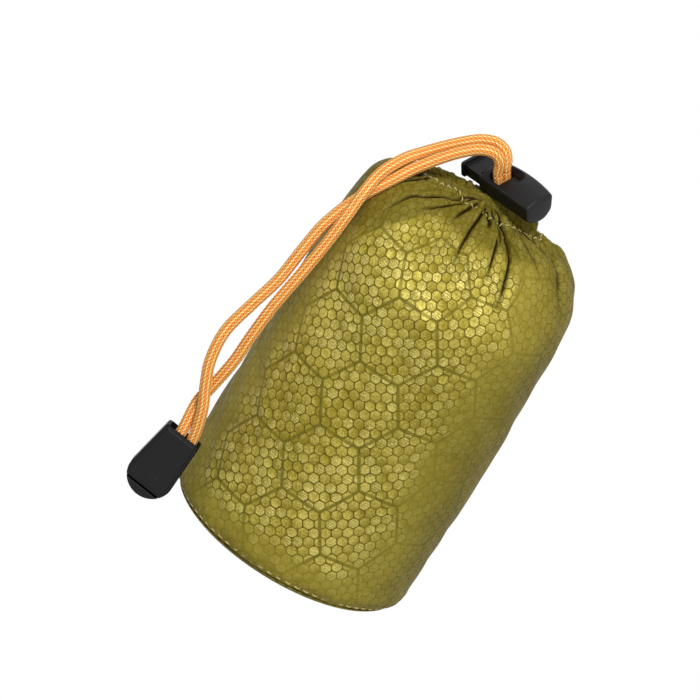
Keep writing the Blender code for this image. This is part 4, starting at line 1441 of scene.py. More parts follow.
@dataclass
class Sack:
    """The fabric sack: base, wall with a gathered shoulder, drawn mouth and seams.

    The hem's stitches lie at places as a crease gives them. Its profile is pairs of a distance out of
    the slit's middle and a height over its edge. A wave of the stuffed cloth is its height, how often
    it goes round and how often up, and a bulge is its height, its turn in degrees, its width as the
    sine of half an angle, and its middle and reach along the cloth. All are in millimetres.
    """

    finishes: Finishes
    loop: HemLoop
    lock: LockPlace
    cords: list[Array]
    surface: tuple[Array, ...] = ()
    radius: float = 35.0 * MM
    corner: float = 6.4 * MM
    wall_foot: float = math.radians(44.0)
    base_ends: Span = (math.radians(86.0), math.radians(46.5))
    base_seam: float = math.radians(33.0)
    wall_top: float = 86.0 * MM
    wall_level: float = 86.0
    panel_top: float = 112.8 * MM
    mouth_half_length: float = 16.5 * MM
    mouth_half_width: float = 2.0 * MM
    mouth_drop: float = 2.8 * MM
    drop_by_lock: float = 1.7 * MM
    fullness_side: float = 2.2
    fullness_front: float = 1.45
    fullness_back: float = 1.3
    hem_radius: float = 1.85 * MM
    fabric: float = 0.3 * MM
    cord_clear: float = 1.85 * MM
    exit_left: float = -4.4 * MM
    exit_right: float = 10.0 * MM
    exit_level: float = 161.0
    around: int = 840
    corner_rows: int = 8
    wall_rows: int = 76
    shoulder_rows: int = 220
    seed: int = 7
    cloth_height: float = 120.0 * MM
    fold_reach: float = 6.5 * MM
    seam_flatness: float = 0.8
    pucker: float = 0.12 * MM
    pucker_ends: Span = (9.0 * MM, 4.0 * MM)
    base_hollow: float = 0.35 * MM
    base_crinkle: float = 0.12 * MM
    fill: float = 0.9
    stitch_places: tuple[Span, ...] = (
        (0.0, 173.0), (60.0, 166.0), (120.0, 166.0), (170.0, 167.0), (203.5, 166.5), (226.0, 168.5),
        (237.5, 169.0), (246.0, 167.0), (254.0, 162.5), (263.5, 164.0), (272.0, 164.5), (283.0, 161.5),
        (296.0, 165.0), (307.0, 166.5), (318.0, 168.0), (340.0, 171.5), (360.0, 173.0),
    )
    creases: tuple[Crease, ...] = (
        Crease(((270, 169), (251, 166.5), (231.5, 158), (221, 143.5), (219.5, 121.5)), 0.40, 1.2, 1.0, -1.0),
        Crease(((262, 168), (257, 166.5), (245, 156.5), (238.5, 149.5), (232, 140)), 0.34, 1.1, 0.9),
        Crease(((266, 167), (263.5, 164.5), (256.5, 154.5), (255, 148)), 0.42, 1.4, 1.2),
        Crease(((277, 169), (275, 162), (271, 149), (270, 139.5), (270.5, 126.5)), 0.42, 1.6, 2.0),
        Crease(((278, 166), (282, 161), (285, 157), (283, 152)), 0.50, 1.9, 1.4, -1.0),
        Crease(((286, 170), (293, 167.5), (301, 161), (305, 152.5), (305.5, 144)), 0.38, 1.7, 1.3),
        Crease(((303, 158), (305.5, 146), (303.5, 135.5), (302, 126), (300, 115.5)), 0.42, 2.1, 1.6),
        Crease(((281, 169), (290, 163), (296.5, 160), (297, 153.5), (295, 146)), 0.36, 1.5, 1.1, -1.0),
        Crease(((294, 152), (293, 145.5), (292, 138.5), (291, 128)), 0.36, 1.3, 1.3, -1.0),
        Crease(((318, 170), (332, 167), (344.5, 162.5), (347, 156)), 0.40, 1.3, 0.9),
        Crease(((362, 173), (358, 164), (349.5, 149), (344, 134.5), (343, 118)), 0.46, 1.9, 1.3),
        Crease(((380, 172), (375, 157.5), (368, 143), (364, 128)), 0.5, 1.3, 1.6, -1.0),
        Crease(((312, 168), (322, 160), (327, 150), (328, 138)), 0.32, 0.7, 1.0, -1.0),
        Crease(((206, 168), (208, 156), (206, 140)), 0.40, 1.1, 1.3),
    )
    waves: tuple[tuple[float, int, float], ...] = (
        (0.24, 3, 2.0), (0.20, 5, 3.0), (0.14, 9, 5.0), (0.09, 16, 9.0), (0.05, 27, 14.0),
    )
    hem_profile: tuple[Span, ...] = (
        (2.35, -0.5), (1.9, 0.05), (1.35, 0.30), (0.85, 0.30), (0.5, 0.1),
        (0.34, -0.6), (0.32, -2.0), (0.6, -3.2), (1.2, -4.0), (1.8, -4.4),
    )
    hem_fabric: float = 0.25 * MM
    lips_left: Span = (-9.0 * MM, -4.0 * MM)
    lips_right: Span = (21.0 * MM, 13.0 * MM)
    lips_rising: Span = (-6.0 * MM, -1.5 * MM)
    lips_low: float = 1.1 * MM
    lips_rise: float = 1.2 * MM
    lips_ripple: float = 0.12 * MM
    tape: float = 0.3 * MM
    tape_gap: float = 0.45 * MM
    tape_half_width: float = 4.0 * MM
    back_tape_ends: Span = (8.0 * MM, 84.0 * MM)
    hem_stitch: Point = (1.6, 0.8, 0.19)
    exit_stitch: Point = (0.8, 0.12, 0.3)
    base_stitch: Point = (1.9, 0.9, 0.2)
    seam_stitch: Point = (2.0, 0.8, 0.15)
    bulges: tuple[tuple[float, ...], ...] = (
        (0.7, 18.0, 0.25, 107.0, 5.0),
        (-1.1, 18.0, 0.25, 116.0, 4.0),
        (1.1, 18.0, 0.30, 40.0, 24.0),
        (2.1, 163.0, 0.20, 103.0, 8.0),
    )

    def stadium(self, turn: Array, wide: float) -> tuple[Array, Array]:
        """A line round the mouth's middle, read at turns round the sack.

        Args:
            turn: the turns.
            wide: how far from the middle the line runs.

        Returns:
            The places across and along.
        """
        quarter = np.arctan2(np.abs(np.sin(turn)), np.abs(np.cos(turn))) / (math.pi / 2.0)
        straight = self.mouth_half_length - self.mouth_half_width
        bend = math.pi / 2.0 * wide
        way = quarter * (bend + straight)
        bent = way < bend
        angle = np.minimum(way, bend) / wide
        across = np.where(bent, straight + wide * np.cos(angle), straight - (way - bend))
        along = np.where(bent, wide * np.sin(angle), wide)
        return self.loop.centre + np.copysign(across, np.cos(turn)), np.copysign(along, np.sin(turn))

    def sunk(self, across: Array) -> Array:
        """How far the mouth sinks towards its ends."""
        far = np.abs(across - self.loop.centre) + self.loop.reach() - self.mouth_half_length
        drop = np.where(across > self.loop.centre, self.drop_by_lock, self.mouth_drop)
        return drop * np.clip(far / self.loop.reach(), 0.0, 1.0) ** 2

    def shoulder(self, turn: Array, climb: Array) -> Array:
        """Points on the smooth shoulder, which stands up a little over the cord in the hem.

        Args:
            turn: turns round the sack.
            climb: from 0 at the wall to a quarter turn at the mouth.

        Returns:
            The points.
        """
        facing = np.where(np.sin(turn) < 0.0, self.fullness_front, self.fullness_back)
        fullness = self.fullness_side + (facing - self.fullness_side) * np.sin(turn) ** 2
        inward = 1.0 - np.maximum(0.0, np.cos(climb)) ** (2.0 / fullness)
        rise = np.sin(climb) ** (2.0 / fullness)
        across, along = self.stadium(turn, self.mouth_half_width)
        x = self.radius * np.cos(turn) * (1.0 - inward) + across * inward
        y = self.radius * np.sin(turn) * (1.0 - inward) + along * inward
        z = self.wall_top + (self.panel_top - self.sunk(across) - self.wall_top) * rise
        return self.over_cord(np.stack([x, y, z], axis=-1))

    def over_cord(self, points: Array) -> Array:
        """The points, with those too near the hem's cord moved out to cover it."""
        middle = self.loop.nearest(points)
        gap = points - middle
        far = np.linalg.norm(gap, axis=-1, keepdims=True)
        covered = middle + gap / np.maximum(far, 1e-9) * self.hem_radius
        return np.where(far < self.hem_radius, covered, points)

    def at(self, turn_degrees: Array, level: Array) -> Array:
        """Points on the smooth sack by places as a crease gives them."""
        turn, top = np.radians(turn_degrees), self.wall_level
        over = self.shoulder(turn, np.radians(np.clip(level - top, 0.0, 90.0)))
        on_wall = on_ring(self.radius, turn, np.minimum(level, top) * MM)
        return np.where((level > top)[..., None], over, on_wall)

    def foot(self, angle: float) -> Span:
        """How far out and up the rounded lower edge is, at an angle below level."""
        out = self.radius - self.corner + self.corner * math.cos(angle)
        return out, self.corner - self.corner * math.sin(angle)

    def wall_grid(self) -> tuple[Array, Array]:
        """The smooth wall and shoulder.

        Returns:
            The points as rows and columns, and each point's place on the flat cloth.
        """
        turn = FULL_TURN * np.arange(self.around + 1) / self.around
        rows = []
        for angle in np.linspace(self.wall_foot, 0.0, self.corner_rows, endpoint=False):
            out, up = self.foot(angle)
            rows.append(on_ring(out, turn, up))
        for up in np.linspace(self.corner, self.wall_top, self.wall_rows, endpoint=False):
            rows.append(on_ring(self.radius, turn, up))
        for climb in np.linspace(0.0, math.pi / 2.0, self.shoulder_rows):
            rows.append(self.shoulder(turn, np.full_like(turn, climb)))
        points = np.array(rows)
        steps = np.linalg.norm(np.diff(points, axis=0), axis=-1)
        way = np.vstack([np.zeros((1, points.shape[1])), np.cumsum(steps, axis=0)])
        way = way - way[self.corner_rows] + self.corner
        flat = np.stack([np.broadcast_to(turn * self.radius, way.shape), way], axis=-1)
        return points[:, :-1], flat

    def outward(self, points: Array) -> Array:
        """The way out of the cloth at each point of a closed grid."""
        across = np.roll(points, -1, axis=1) - np.roll(points, 1, axis=1)
        along = np.gradient(points, axis=0)
        return unit(np.cross(across, along))

    def other_creases(self) -> list[Crease]:
        """Folds for the rest of the shoulder, spread unevenly round it."""
        chance = np.random.default_rng(self.seed)
        made = []
        for index, turn in enumerate(np.arange(27.0, 200.0, 11.5)):
            start = turn + chance.uniform(-3.0, 3.0)
            lean = chance.uniform(-7.0, 7.0)
            low = chance.uniform(104.0, 146.0)
            places = [(start, 169.0)]
            for share in (0.25, 0.5, 0.75, 1.0):
                bow = 2.5 * math.sin(math.pi * share) * chance.uniform(-1.0, 1.0)
                places.append((start + lean * share + bow, 169.0 + (low - 169.0) * share))
            side = 1.0 if index % 2 else -1.0
            width, depth = chance.uniform(0.32, 0.6), chance.uniform(1.0, 2.3)
            made.append(Crease(tuple(places), width, depth, chance.uniform(1.0, 1.9), side))
        return made

    def fold(self, points: Array, out: Array, crease: Crease) -> tuple[Array, Array]:
        """How one crease changes the smooth cloth.

        Args:
            points: the smooth cloth's points, in one list.
            out: the way out of the cloth at each.
            crease: the fold.

        Returns:
            How far it moves each point, mostly inward, and the painted shade of its slit: how deep in it the
            point lies.
        """
        places = np.array(crease.places, dtype=float)
        share = np.linspace(0.0, len(places) - 1.0, 41)
        turn, level = (np.interp(share, np.arange(len(places)), column) for column in places.T)
        line = even_points(smooth_route([Vector(p) for p in self.at(turn, level)[::5]], 8), 0.5 * MM)
        moved = np.zeros(len(points))
        slit = np.zeros(len(points))
        low, high = line.min(axis=0) - self.fold_reach, line.max(axis=0) + self.fold_reach
        near = np.all((points > low) & (points < high), axis=1)
        chosen = points[near]
        gaps = chosen[:, None] - line[None, ::2]
        closest = 2 * np.argmin(np.einsum("ijk,ijk->ij", gaps, gaps), axis=1)
        gap = chosen - line[closest]
        ahead = unit(np.gradient(line, axis=0))[closest]
        whole = np.linalg.norm(gap, axis=1)
        gap -= ahead * dots(gap, ahead)[:, None]
        far = np.linalg.norm(gap, axis=1)
        x = np.sign(dots(np.cross(ahead, gap), out[near])) * far / MM * crease.side
        along = closest / (len(line) - 1.0)
        taper = smooth_step(along, -0.04, 0.10) * (1.0 - along**3.5) * bell((whole - far) / (1.2 * MM))
        taper[whole > self.fold_reach] = 0.0
        slack = crease.slack
        swell = bell((x - 1.7 * slack) / slack)
        swell += 0.5 * bell((x + 2.0 * slack) / (1.2 * slack))
        dip = 0.42 * swell - 0.55 * bell(x / crease.width) - 0.45 * np.exp(-np.abs(x) / slack)
        moved[near] = crease.depth * MM * taper * dip
        # Painted shade along the crease's slit.
        dark = bell(x / (0.9 * crease.width))
        slit[near] = np.clip(1.45 * dark * taper * min(1.0, crease.depth / 1.1), 0.0, 1.0)
        return moved, slit

    def swell(self, flat: Array) -> Array:
        """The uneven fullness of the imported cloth, from its place on the flat cloth.

        Args:
            flat: the places.

        Returns:
            The distances outward.
        """
        turn = flat[..., 0] / self.radius
        way = flat[..., 1]
        chance = np.random.default_rng(self.seed + 1)
        total = np.zeros_like(turn)
        for size, turns, waves in self.waves:
            for _ in range(3):
                around = turns + chance.integers(-1, 2)
                along = FULL_TURN * waves * chance.uniform(0.6, 1.4) / self.cloth_height
                start = chance.uniform(0.0, FULL_TURN)
                total += size * MM * np.sin(around * turn + along * way + start) / 1.7
        by_seam = bell(beside(turn, 90.0) / 0.12)
        full = 0.0
        for size, middle, wide, up, tall in self.bulges:
            full = full + size * MM * bell(beside(turn, middle) / wide, (way - up * MM) / (tall * MM))
        return total * (1.0 - self.seam_flatness * by_seam) + full

    def pleats(self, turn: Array, climb: Array) -> Array:
        """The small pleats of the drawn cloth, with sharp valleys and broad backs.

        Args:
            turn: turns round the sack.
            climb: shares of the way up the shoulder.

        Returns:
            The distances outward.
        """
        chance = np.random.default_rng(self.seed + 2)
        moved = np.full(np.broadcast(turn, climb).shape, 0.0)
        middle = 0.0
        while middle < FULL_TURN:
            middle += chance.uniform(0.09, 0.22)
            width = chance.uniform(0.020, 0.042)
            depth = chance.uniform(0.20, 0.70)
            lean = chance.uniform(-0.5, 0.5)
            start = chance.uniform(0.70, 0.86)
            off = 2.0 * np.sin((turn - middle - lean * (climb - 1.0)) / 2.0)
            valley = np.exp(-np.abs(off / width) ** 1.5)
            moved -= depth * valley * smooth_step(climb, start, start + 0.14)
        moved += 0.14 * smooth_step(climb, 0.8, 0.95)
        broad = np.abs(np.sin((19.0 * turn + 1.7 * np.sin(2.0 * turn)) / 2.0)) ** 0.7 - 0.68
        front = bell(beside(turn, 280.0) / 0.45)
        crush = np.sin(37.0 * turn + 60.0 * climb) * np.sin(23.0 * turn - 95.0 * climb + 1.0)
        moved += 0.34 * (broad - 0.3) * smooth_step(climb, 0.25, 0.8) * (1.0 - 0.8 * front)
        moved += 0.14 * crush * smooth_step(climb, 0.80, 0.92)
        return moved * MM

    def keep_clear(self, points: Array, out: Array) -> Array:
        """Move cloth away from the hanging cords and down from the lock.

        Args:
            points: the cloth's points, in one list.
            out: the way out of the cloth at each.

        Returns:
            The points, moved.
        """
        points = points.copy()
        for line in self.cords:
            for start in range(0, len(line) - 1, 10):
                part = line[start : start + 11]
                low, high = part.min(axis=0) - self.cord_clear, part.max(axis=0) + self.cord_clear
                near = np.nonzero(np.all((points > low) & (points < high), axis=1))[0]
                if not len(near):
                    continue
                gaps = points[near][:, None] - part[None]
                far = np.linalg.norm(gaps, axis=2)
                closest = np.argmin(far, axis=1)
                gap = gaps[np.arange(len(near)), closest]
                deep = dots(gap, out[near])
                short = self.cord_clear**2 - dots(gap, gap)
                push = np.where(short > 0.0, deep + np.sqrt(np.maximum(0.0, deep**2 + short)), 0.0)
                points[near] -= out[near] * push[:, None]
        return self.lock.duck(points)

    def exit_hole(self, grid: Array, level: Array) -> Array:
        """Which quads of a closed grid round the mouth lie in the hole that lets the cord out.

        Args:
            grid: the grid's points.
            level: each row's level.

        Returns:
            True for each quad in the hole.
        """
        middle = (grid + np.roll(grid, -1, axis=1)) / 2.0
        columns = (middle[-1, :, 0] > self.exit_left) & (middle[-1, :, 0] < self.exit_right)
        columns &= middle[-1, :, 1] > 0.0
        return (level[:-1] >= self.exit_level)[:, None] & columns[None]

    def make_wall(self) -> Object:
        """Make the wall and its gathered shoulder, with painted shade in its creases and pleats."""
        smooth, flat = self.wall_grid()
        out = self.outward(smooth)
        level = flat[:, :-1]
        rows = len(smooth)
        turn = level[..., 0] / self.radius
        row = np.arange(rows)
        climb = np.clip((row - self.corner_rows - self.wall_rows) / (self.shoulder_rows - 1.0), 0.0, 1.0)
        moved = self.swell(level)
        listed, listed_out = smooth.reshape(-1, 3), out.reshape(-1, 3)
        shade = np.zeros(moved.shape)
        for crease in [*self.creases, *self.other_creases()]:
            change, slit = self.fold(listed, listed_out, crease)
            moved += change.reshape(moved.shape)
            shade = np.maximum(shade, slit.reshape(moved.shape))
        moved *= 1.0 - 0.75 * smooth_step(climb, 0.93, 1.0)[:, None]
        pleats = self.pleats(turn, np.broadcast_to(climb[:, None], turn.shape))
        moved += pleats
        # Painted shade in the pleats' valleys.
        shade = np.maximum(shade, 0.8 * np.clip(-pleats / (0.55 * MM) - 0.15, 0.0, 1.0))
        pucker = self.pucker * np.sin(72.0 * turn + 2.0 * np.sin(5.0 * turn))
        moved += pucker * smooth_step(level[..., 1], *self.pucker_ends)
        moved *= smooth_step(row, -4.0, 5.0)[:, None]
        points = self.over_cord(smooth + out * moved[..., None])
        points = self.keep_clear(points.reshape(-1, 3), listed_out).reshape(points.shape)
        hole = self.exit_hole(smooth, self.wall_level + 90.0 * climb)
        cloth = self.finishes.ripstop
        made = grid_mesh("sack_wall", points, cloth, flat, closed=True, left_out=hole, shade=shade)
        thicken(made, self.fabric)
        mount(made, Body.SACK, Slot.FABRIC, "side_panel")
        self.surface = (points, self.outward(points))
        return made

    def on_surface(self, turn: Array, level: Array) -> tuple[Array, Array]:
        """Points on the folded cloth, by turns in degrees and levels, and the way out of it there."""
        column = np.mod(turn / 360.0, 1.0) * self.around
        climb = (level - self.wall_level) / 90.0
        row = self.corner_rows + self.wall_rows + climb * (self.shoulder_rows - 1.0)
        left = np.floor(column).astype(int)
        low = np.clip(np.floor(row).astype(int), 0, len(self.surface[0]) - 2)
        right_share, up_share = (column - left)[:, None], (row - low)[:, None]
        read = []
        for values in self.surface:
            near, far = values[:, left % self.around], values[:, (left + 1) % self.around]
            each = np.arange(len(left))
            below, above = (
                near[at, each] * (1 - right_share) + far[at, each] * right_share for at in (low, low + 1)
            )
            read.append(below * (1 - up_share) + above * up_share)
        return read[0], unit(read[1])

    def make_base(self) -> Object:
        """Make the round base, slightly hollow, with a turned-up edge."""
        turn = FULL_TURN * np.arange(181) / 180.0
        reach = self.radius - self.corner
        rows = []
        for share in np.linspace(0.02, 1.0, 26):
            hollow = self.fabric + self.base_hollow * math.cos(share * math.pi / 2.0)
            crinkle = self.base_crinkle * (1.0 + np.sin(7.0 * turn + 9.0 * share)) * math.sin(share * math.pi)
            rows.append(on_ring(reach * share, turn, hollow + crinkle))
        for angle in np.linspace(*self.base_ends, 9):
            out, up = self.foot(angle)
            rows.append(on_ring(out, turn, max(self.fabric, up)))
        points = np.array(rows)[::-1]
        cloth = self.finishes.ripstop
        made = grid_mesh("sack_base", points[:, :-1], cloth, points[..., :2], closed=True, end_cap=True)
        thicken(made, self.fabric)
        return mount(made, Body.SACK, Slot.FABRIC, "base_panel")

    def make_hem(self) -> Object:
        """Make the hem's inner side, which rolls over the drawn mouth's edge and down into the slit."""
        profile = np.array(self.hem_profile) * MM
        share = np.linspace(0.0, len(profile) - 1.0, 34)
        turn = FULL_TURN * np.arange(self.around + 1) / self.around
        rows = []
        for place in share:
            wide, up = (float(np.interp(place, np.arange(len(profile)), column)) for column in profile.T)
            across, along = self.stadium(turn, wide)
            edge = math.exp(-(((place - 2.6) / 1.9) ** 2))
            ruffle = self.pleats(turn, np.full_like(turn, 1.0 + 0.01 * place))
            by_lock = smooth_step(across, *self.lips_left) * smooth_step(across, *self.lips_right)
            lift = self.lips_low + self.lips_rise * smooth_step(across, *self.lips_rising)
            crest = by_lock * (self.sunk(across) + lift + self.lips_ripple * np.sin(across * 1900.0))
            tall = self.panel_top - self.sunk(across) + up + edge * (0.5 * ruffle + crest)
            rows.append(np.stack([across, along, tall], axis=-1))
        points = np.array(rows)
        grid = self.lock.duck(points[:, :-1].reshape(-1, 3)).reshape(points[:, :-1].shape)
        along_cloth = 130.0 * MM + share[:, None] * 1.2 * MM
        flat = np.stack(np.broadcast_arrays(turn * 12.0 * MM, along_cloth), axis=-1)
        hole = self.exit_hole(grid, np.full(len(grid), self.wall_level + 90.0))
        made = grid_mesh("sack_hem", grid, self.finishes.ripstop, flat, closed=True, left_out=hole)
        thicken(made, self.hem_fabric)
        return mount(made, Body.SACK, Slot.FABRIC, "mouth_casing")

    def exit_edge(self) -> Array:
        """The line round the hole that lets the cord out, on the folded cloth."""
        turn = np.linspace(0.0, 180.0, 721)
        across = self.stadium(np.radians(turn), self.mouth_half_width)[0]
        right = float(np.interp(-self.exit_right, -across, turn))
        left = float(np.interp(-self.exit_left, -across, turn))
        up = np.linspace(174.0, self.exit_level, 24)
        turns = np.concatenate([np.full(24, right), np.linspace(right, left, 60)[1:-1], np.full(24, left)])
        levels = np.concatenate([up, np.full(58, self.exit_level), up[::-1]])
        places, out = self.on_surface(turns, levels)
        return places + out * 0.1 * MM

    def sew(self, name: str, line: Array, out: Array, stitch: Point, *nodes: str) -> None:
        """Sew a row of stitches.

        Args:
            name: the piece's name.
            line: the seam's line on the cloth.
            out: the way out of the cloth along it.
            stitch: its length, the gap after it and the thread's radius, in millimetres.
            *nodes: the CAD nodes that the row stands for.
        """
        made = stitch_row(name, line, out, self.finishes.thread, *[size * MM for size in stitch])
        mount(made, Body.SACK, Slot.THREAD, *nodes)

    def make_stitches(self) -> None:
        """Sew the hem, the cord's way out, the base seam and the back seam."""
        places = np.array(self.stitch_places)
        turn = np.linspace(0.0, 360.0, 1441)
        level = np.interp(turn, places[:, 0], places[:, 1])
        smooth = np.ones(25) / 25.0
        level = np.convolve(np.concatenate([level[-13:-1], level, level[1:13]]), smooth, "valid")
        level = level - 0.9 * np.abs(np.sin(np.radians(turn) * 27.0)) ** 0.6
        line, out = self.on_surface(turn, level)
        self.sew("hem_stitches", line + out * 0.16 * MM, out, self.hem_stitch, "casing_stitching")
        edge = self.exit_edge()
        around = np.zeros_like(edge) + np.array([0.0, 0.3, 1.0])
        self.sew("cord_exit_stitches", edge, around, self.exit_stitch)
        turn = np.linspace(0.0, FULL_TURN, 400)
        out_flat, up = self.foot(self.base_seam)
        out = on_ring(math.cos(self.base_seam), turn, -math.sin(self.base_seam))
        self.sew("base_stitches", on_ring(out_flat, turn, up), out, self.base_stitch, "base_stitching")
        points, outward = self.surface
        column = self.around // 4
        rows = slice(self.corner_rows + 3, self.corner_rows + self.wall_rows)
        line = even_points(points[rows, column], 0.5 * MM)
        out = np.tile(outward[rows, column].mean(axis=0), (len(line), 1))
        self.sew("back_seam_stitches", line, out, self.seam_stitch, "side_seam_stitching")

    def make_tapes(self) -> None:
        """Make the woven tapes that cover the two seams inside."""
        turn = FULL_TURN * np.arange(241) / 240.0
        reach = self.corner - self.fabric - self.tape_gap
        reach = reach - 0.06 * MM * np.sin(60.0 * turn)
        rows = []
        for angle in np.linspace(math.radians(67.0), math.radians(23.0), 9):
            out = self.radius - self.corner + reach * math.cos(angle)
            rows.append(on_ring(out, turn, self.corner - reach * math.sin(angle)))
        ring = np.array(rows)
        made = grid_mesh("base_seam_tape", ring[:, :-1], self.finishes.tape, closed=True)
        thicken(made, self.tape)
        mount(made, Body.SACK, Slot.BINDING, "base_seam_binding")
        high = np.linspace(*self.back_tape_ends, 160)[:, None]
        half = self.tape_half_width / self.radius
        around = np.linspace(math.pi / 2.0 + half, math.pi / 2.0 - half, 12)[None]
        inside = self.radius - self.fabric - self.tape_gap
        wave = inside - 0.05 * MM * (1.0 + np.sin(high * 2500.0 + 3.0 * around))
        made = grid_mesh("back_seam_tape", on_ring(wave, around, high), self.finishes.tape)
        thicken(made, self.tape)
        mount(made, Body.SACK, Slot.BINDING, "side_seam_tape")

    def make(self) -> None:
        """Make the whole sack."""
        self.make_wall()
        self.make_base()
        self.make_hem()
        self.make_stitches()
        self.make_tapes()


@dataclass
class PackedRoll:
    """The folded film bag, rolled up inside the sack."""

    material: Material
    core: float = 4.0 * MM
    turns: int = 7
    outside: float = 32.2 * MM
    bottom: float = 1.6 * MM
    clearance: float = 5.5 * MM
    ply: float = 1.3 * MM
    low_top: float = 84.0
    top_rise: float = 18.0
    top_wave: float = 0.5 * MM
    crest: float = 14.0 * MM
    foot_start: float = 24.0 * MM
    crinkle: float = 0.16 * MM

    def top(self, radius: Array, turn: Array) -> Array:
        """The roll's height, which follows the shoulder above it."""
        over = smooth_step(radius, self.outside, self.crest)
        wave = self.top_wave * np.sin(11.0 * turn)
        return (self.low_top + self.top_rise * over) * MM - self.clearance + wave

    def make(self) -> Object:
        """Make the roll as one crinkled spiral."""
        turn = np.linspace(0.0, FULL_TURN * self.turns, 90 * self.turns)
        radius = self.core + (self.outside - self.core - self.ply) * turn / turn[-1]
        low = self.bottom + np.maximum(0.0, radius - self.foot_start)
        share = np.linspace(0.0, 1.0, 60)[:, None]
        height = low[None] + (self.top(radius, turn) - low)[None] * share
        chance = np.random.default_rng(3)
        crinkle = np.zeros_like(height)
        for waves in (23.0, 37.0, 61.0):
            along = chance.uniform(0.7, 1.3) * FULL_TURN * waves / (90.0 * MM) / 3.0
            crinkle += self.crinkle * np.sin(waves * turn[None] * 0.7 + along * height)
        wide = radius[None] + crinkle
        made = grid_mesh("film_roll", on_ring(wide, turn[None], height), self.material)
        thicken(made, self.ply)
        return mount(made, Body.SACK, Slot.FILM, "sleeping_bag_roll")


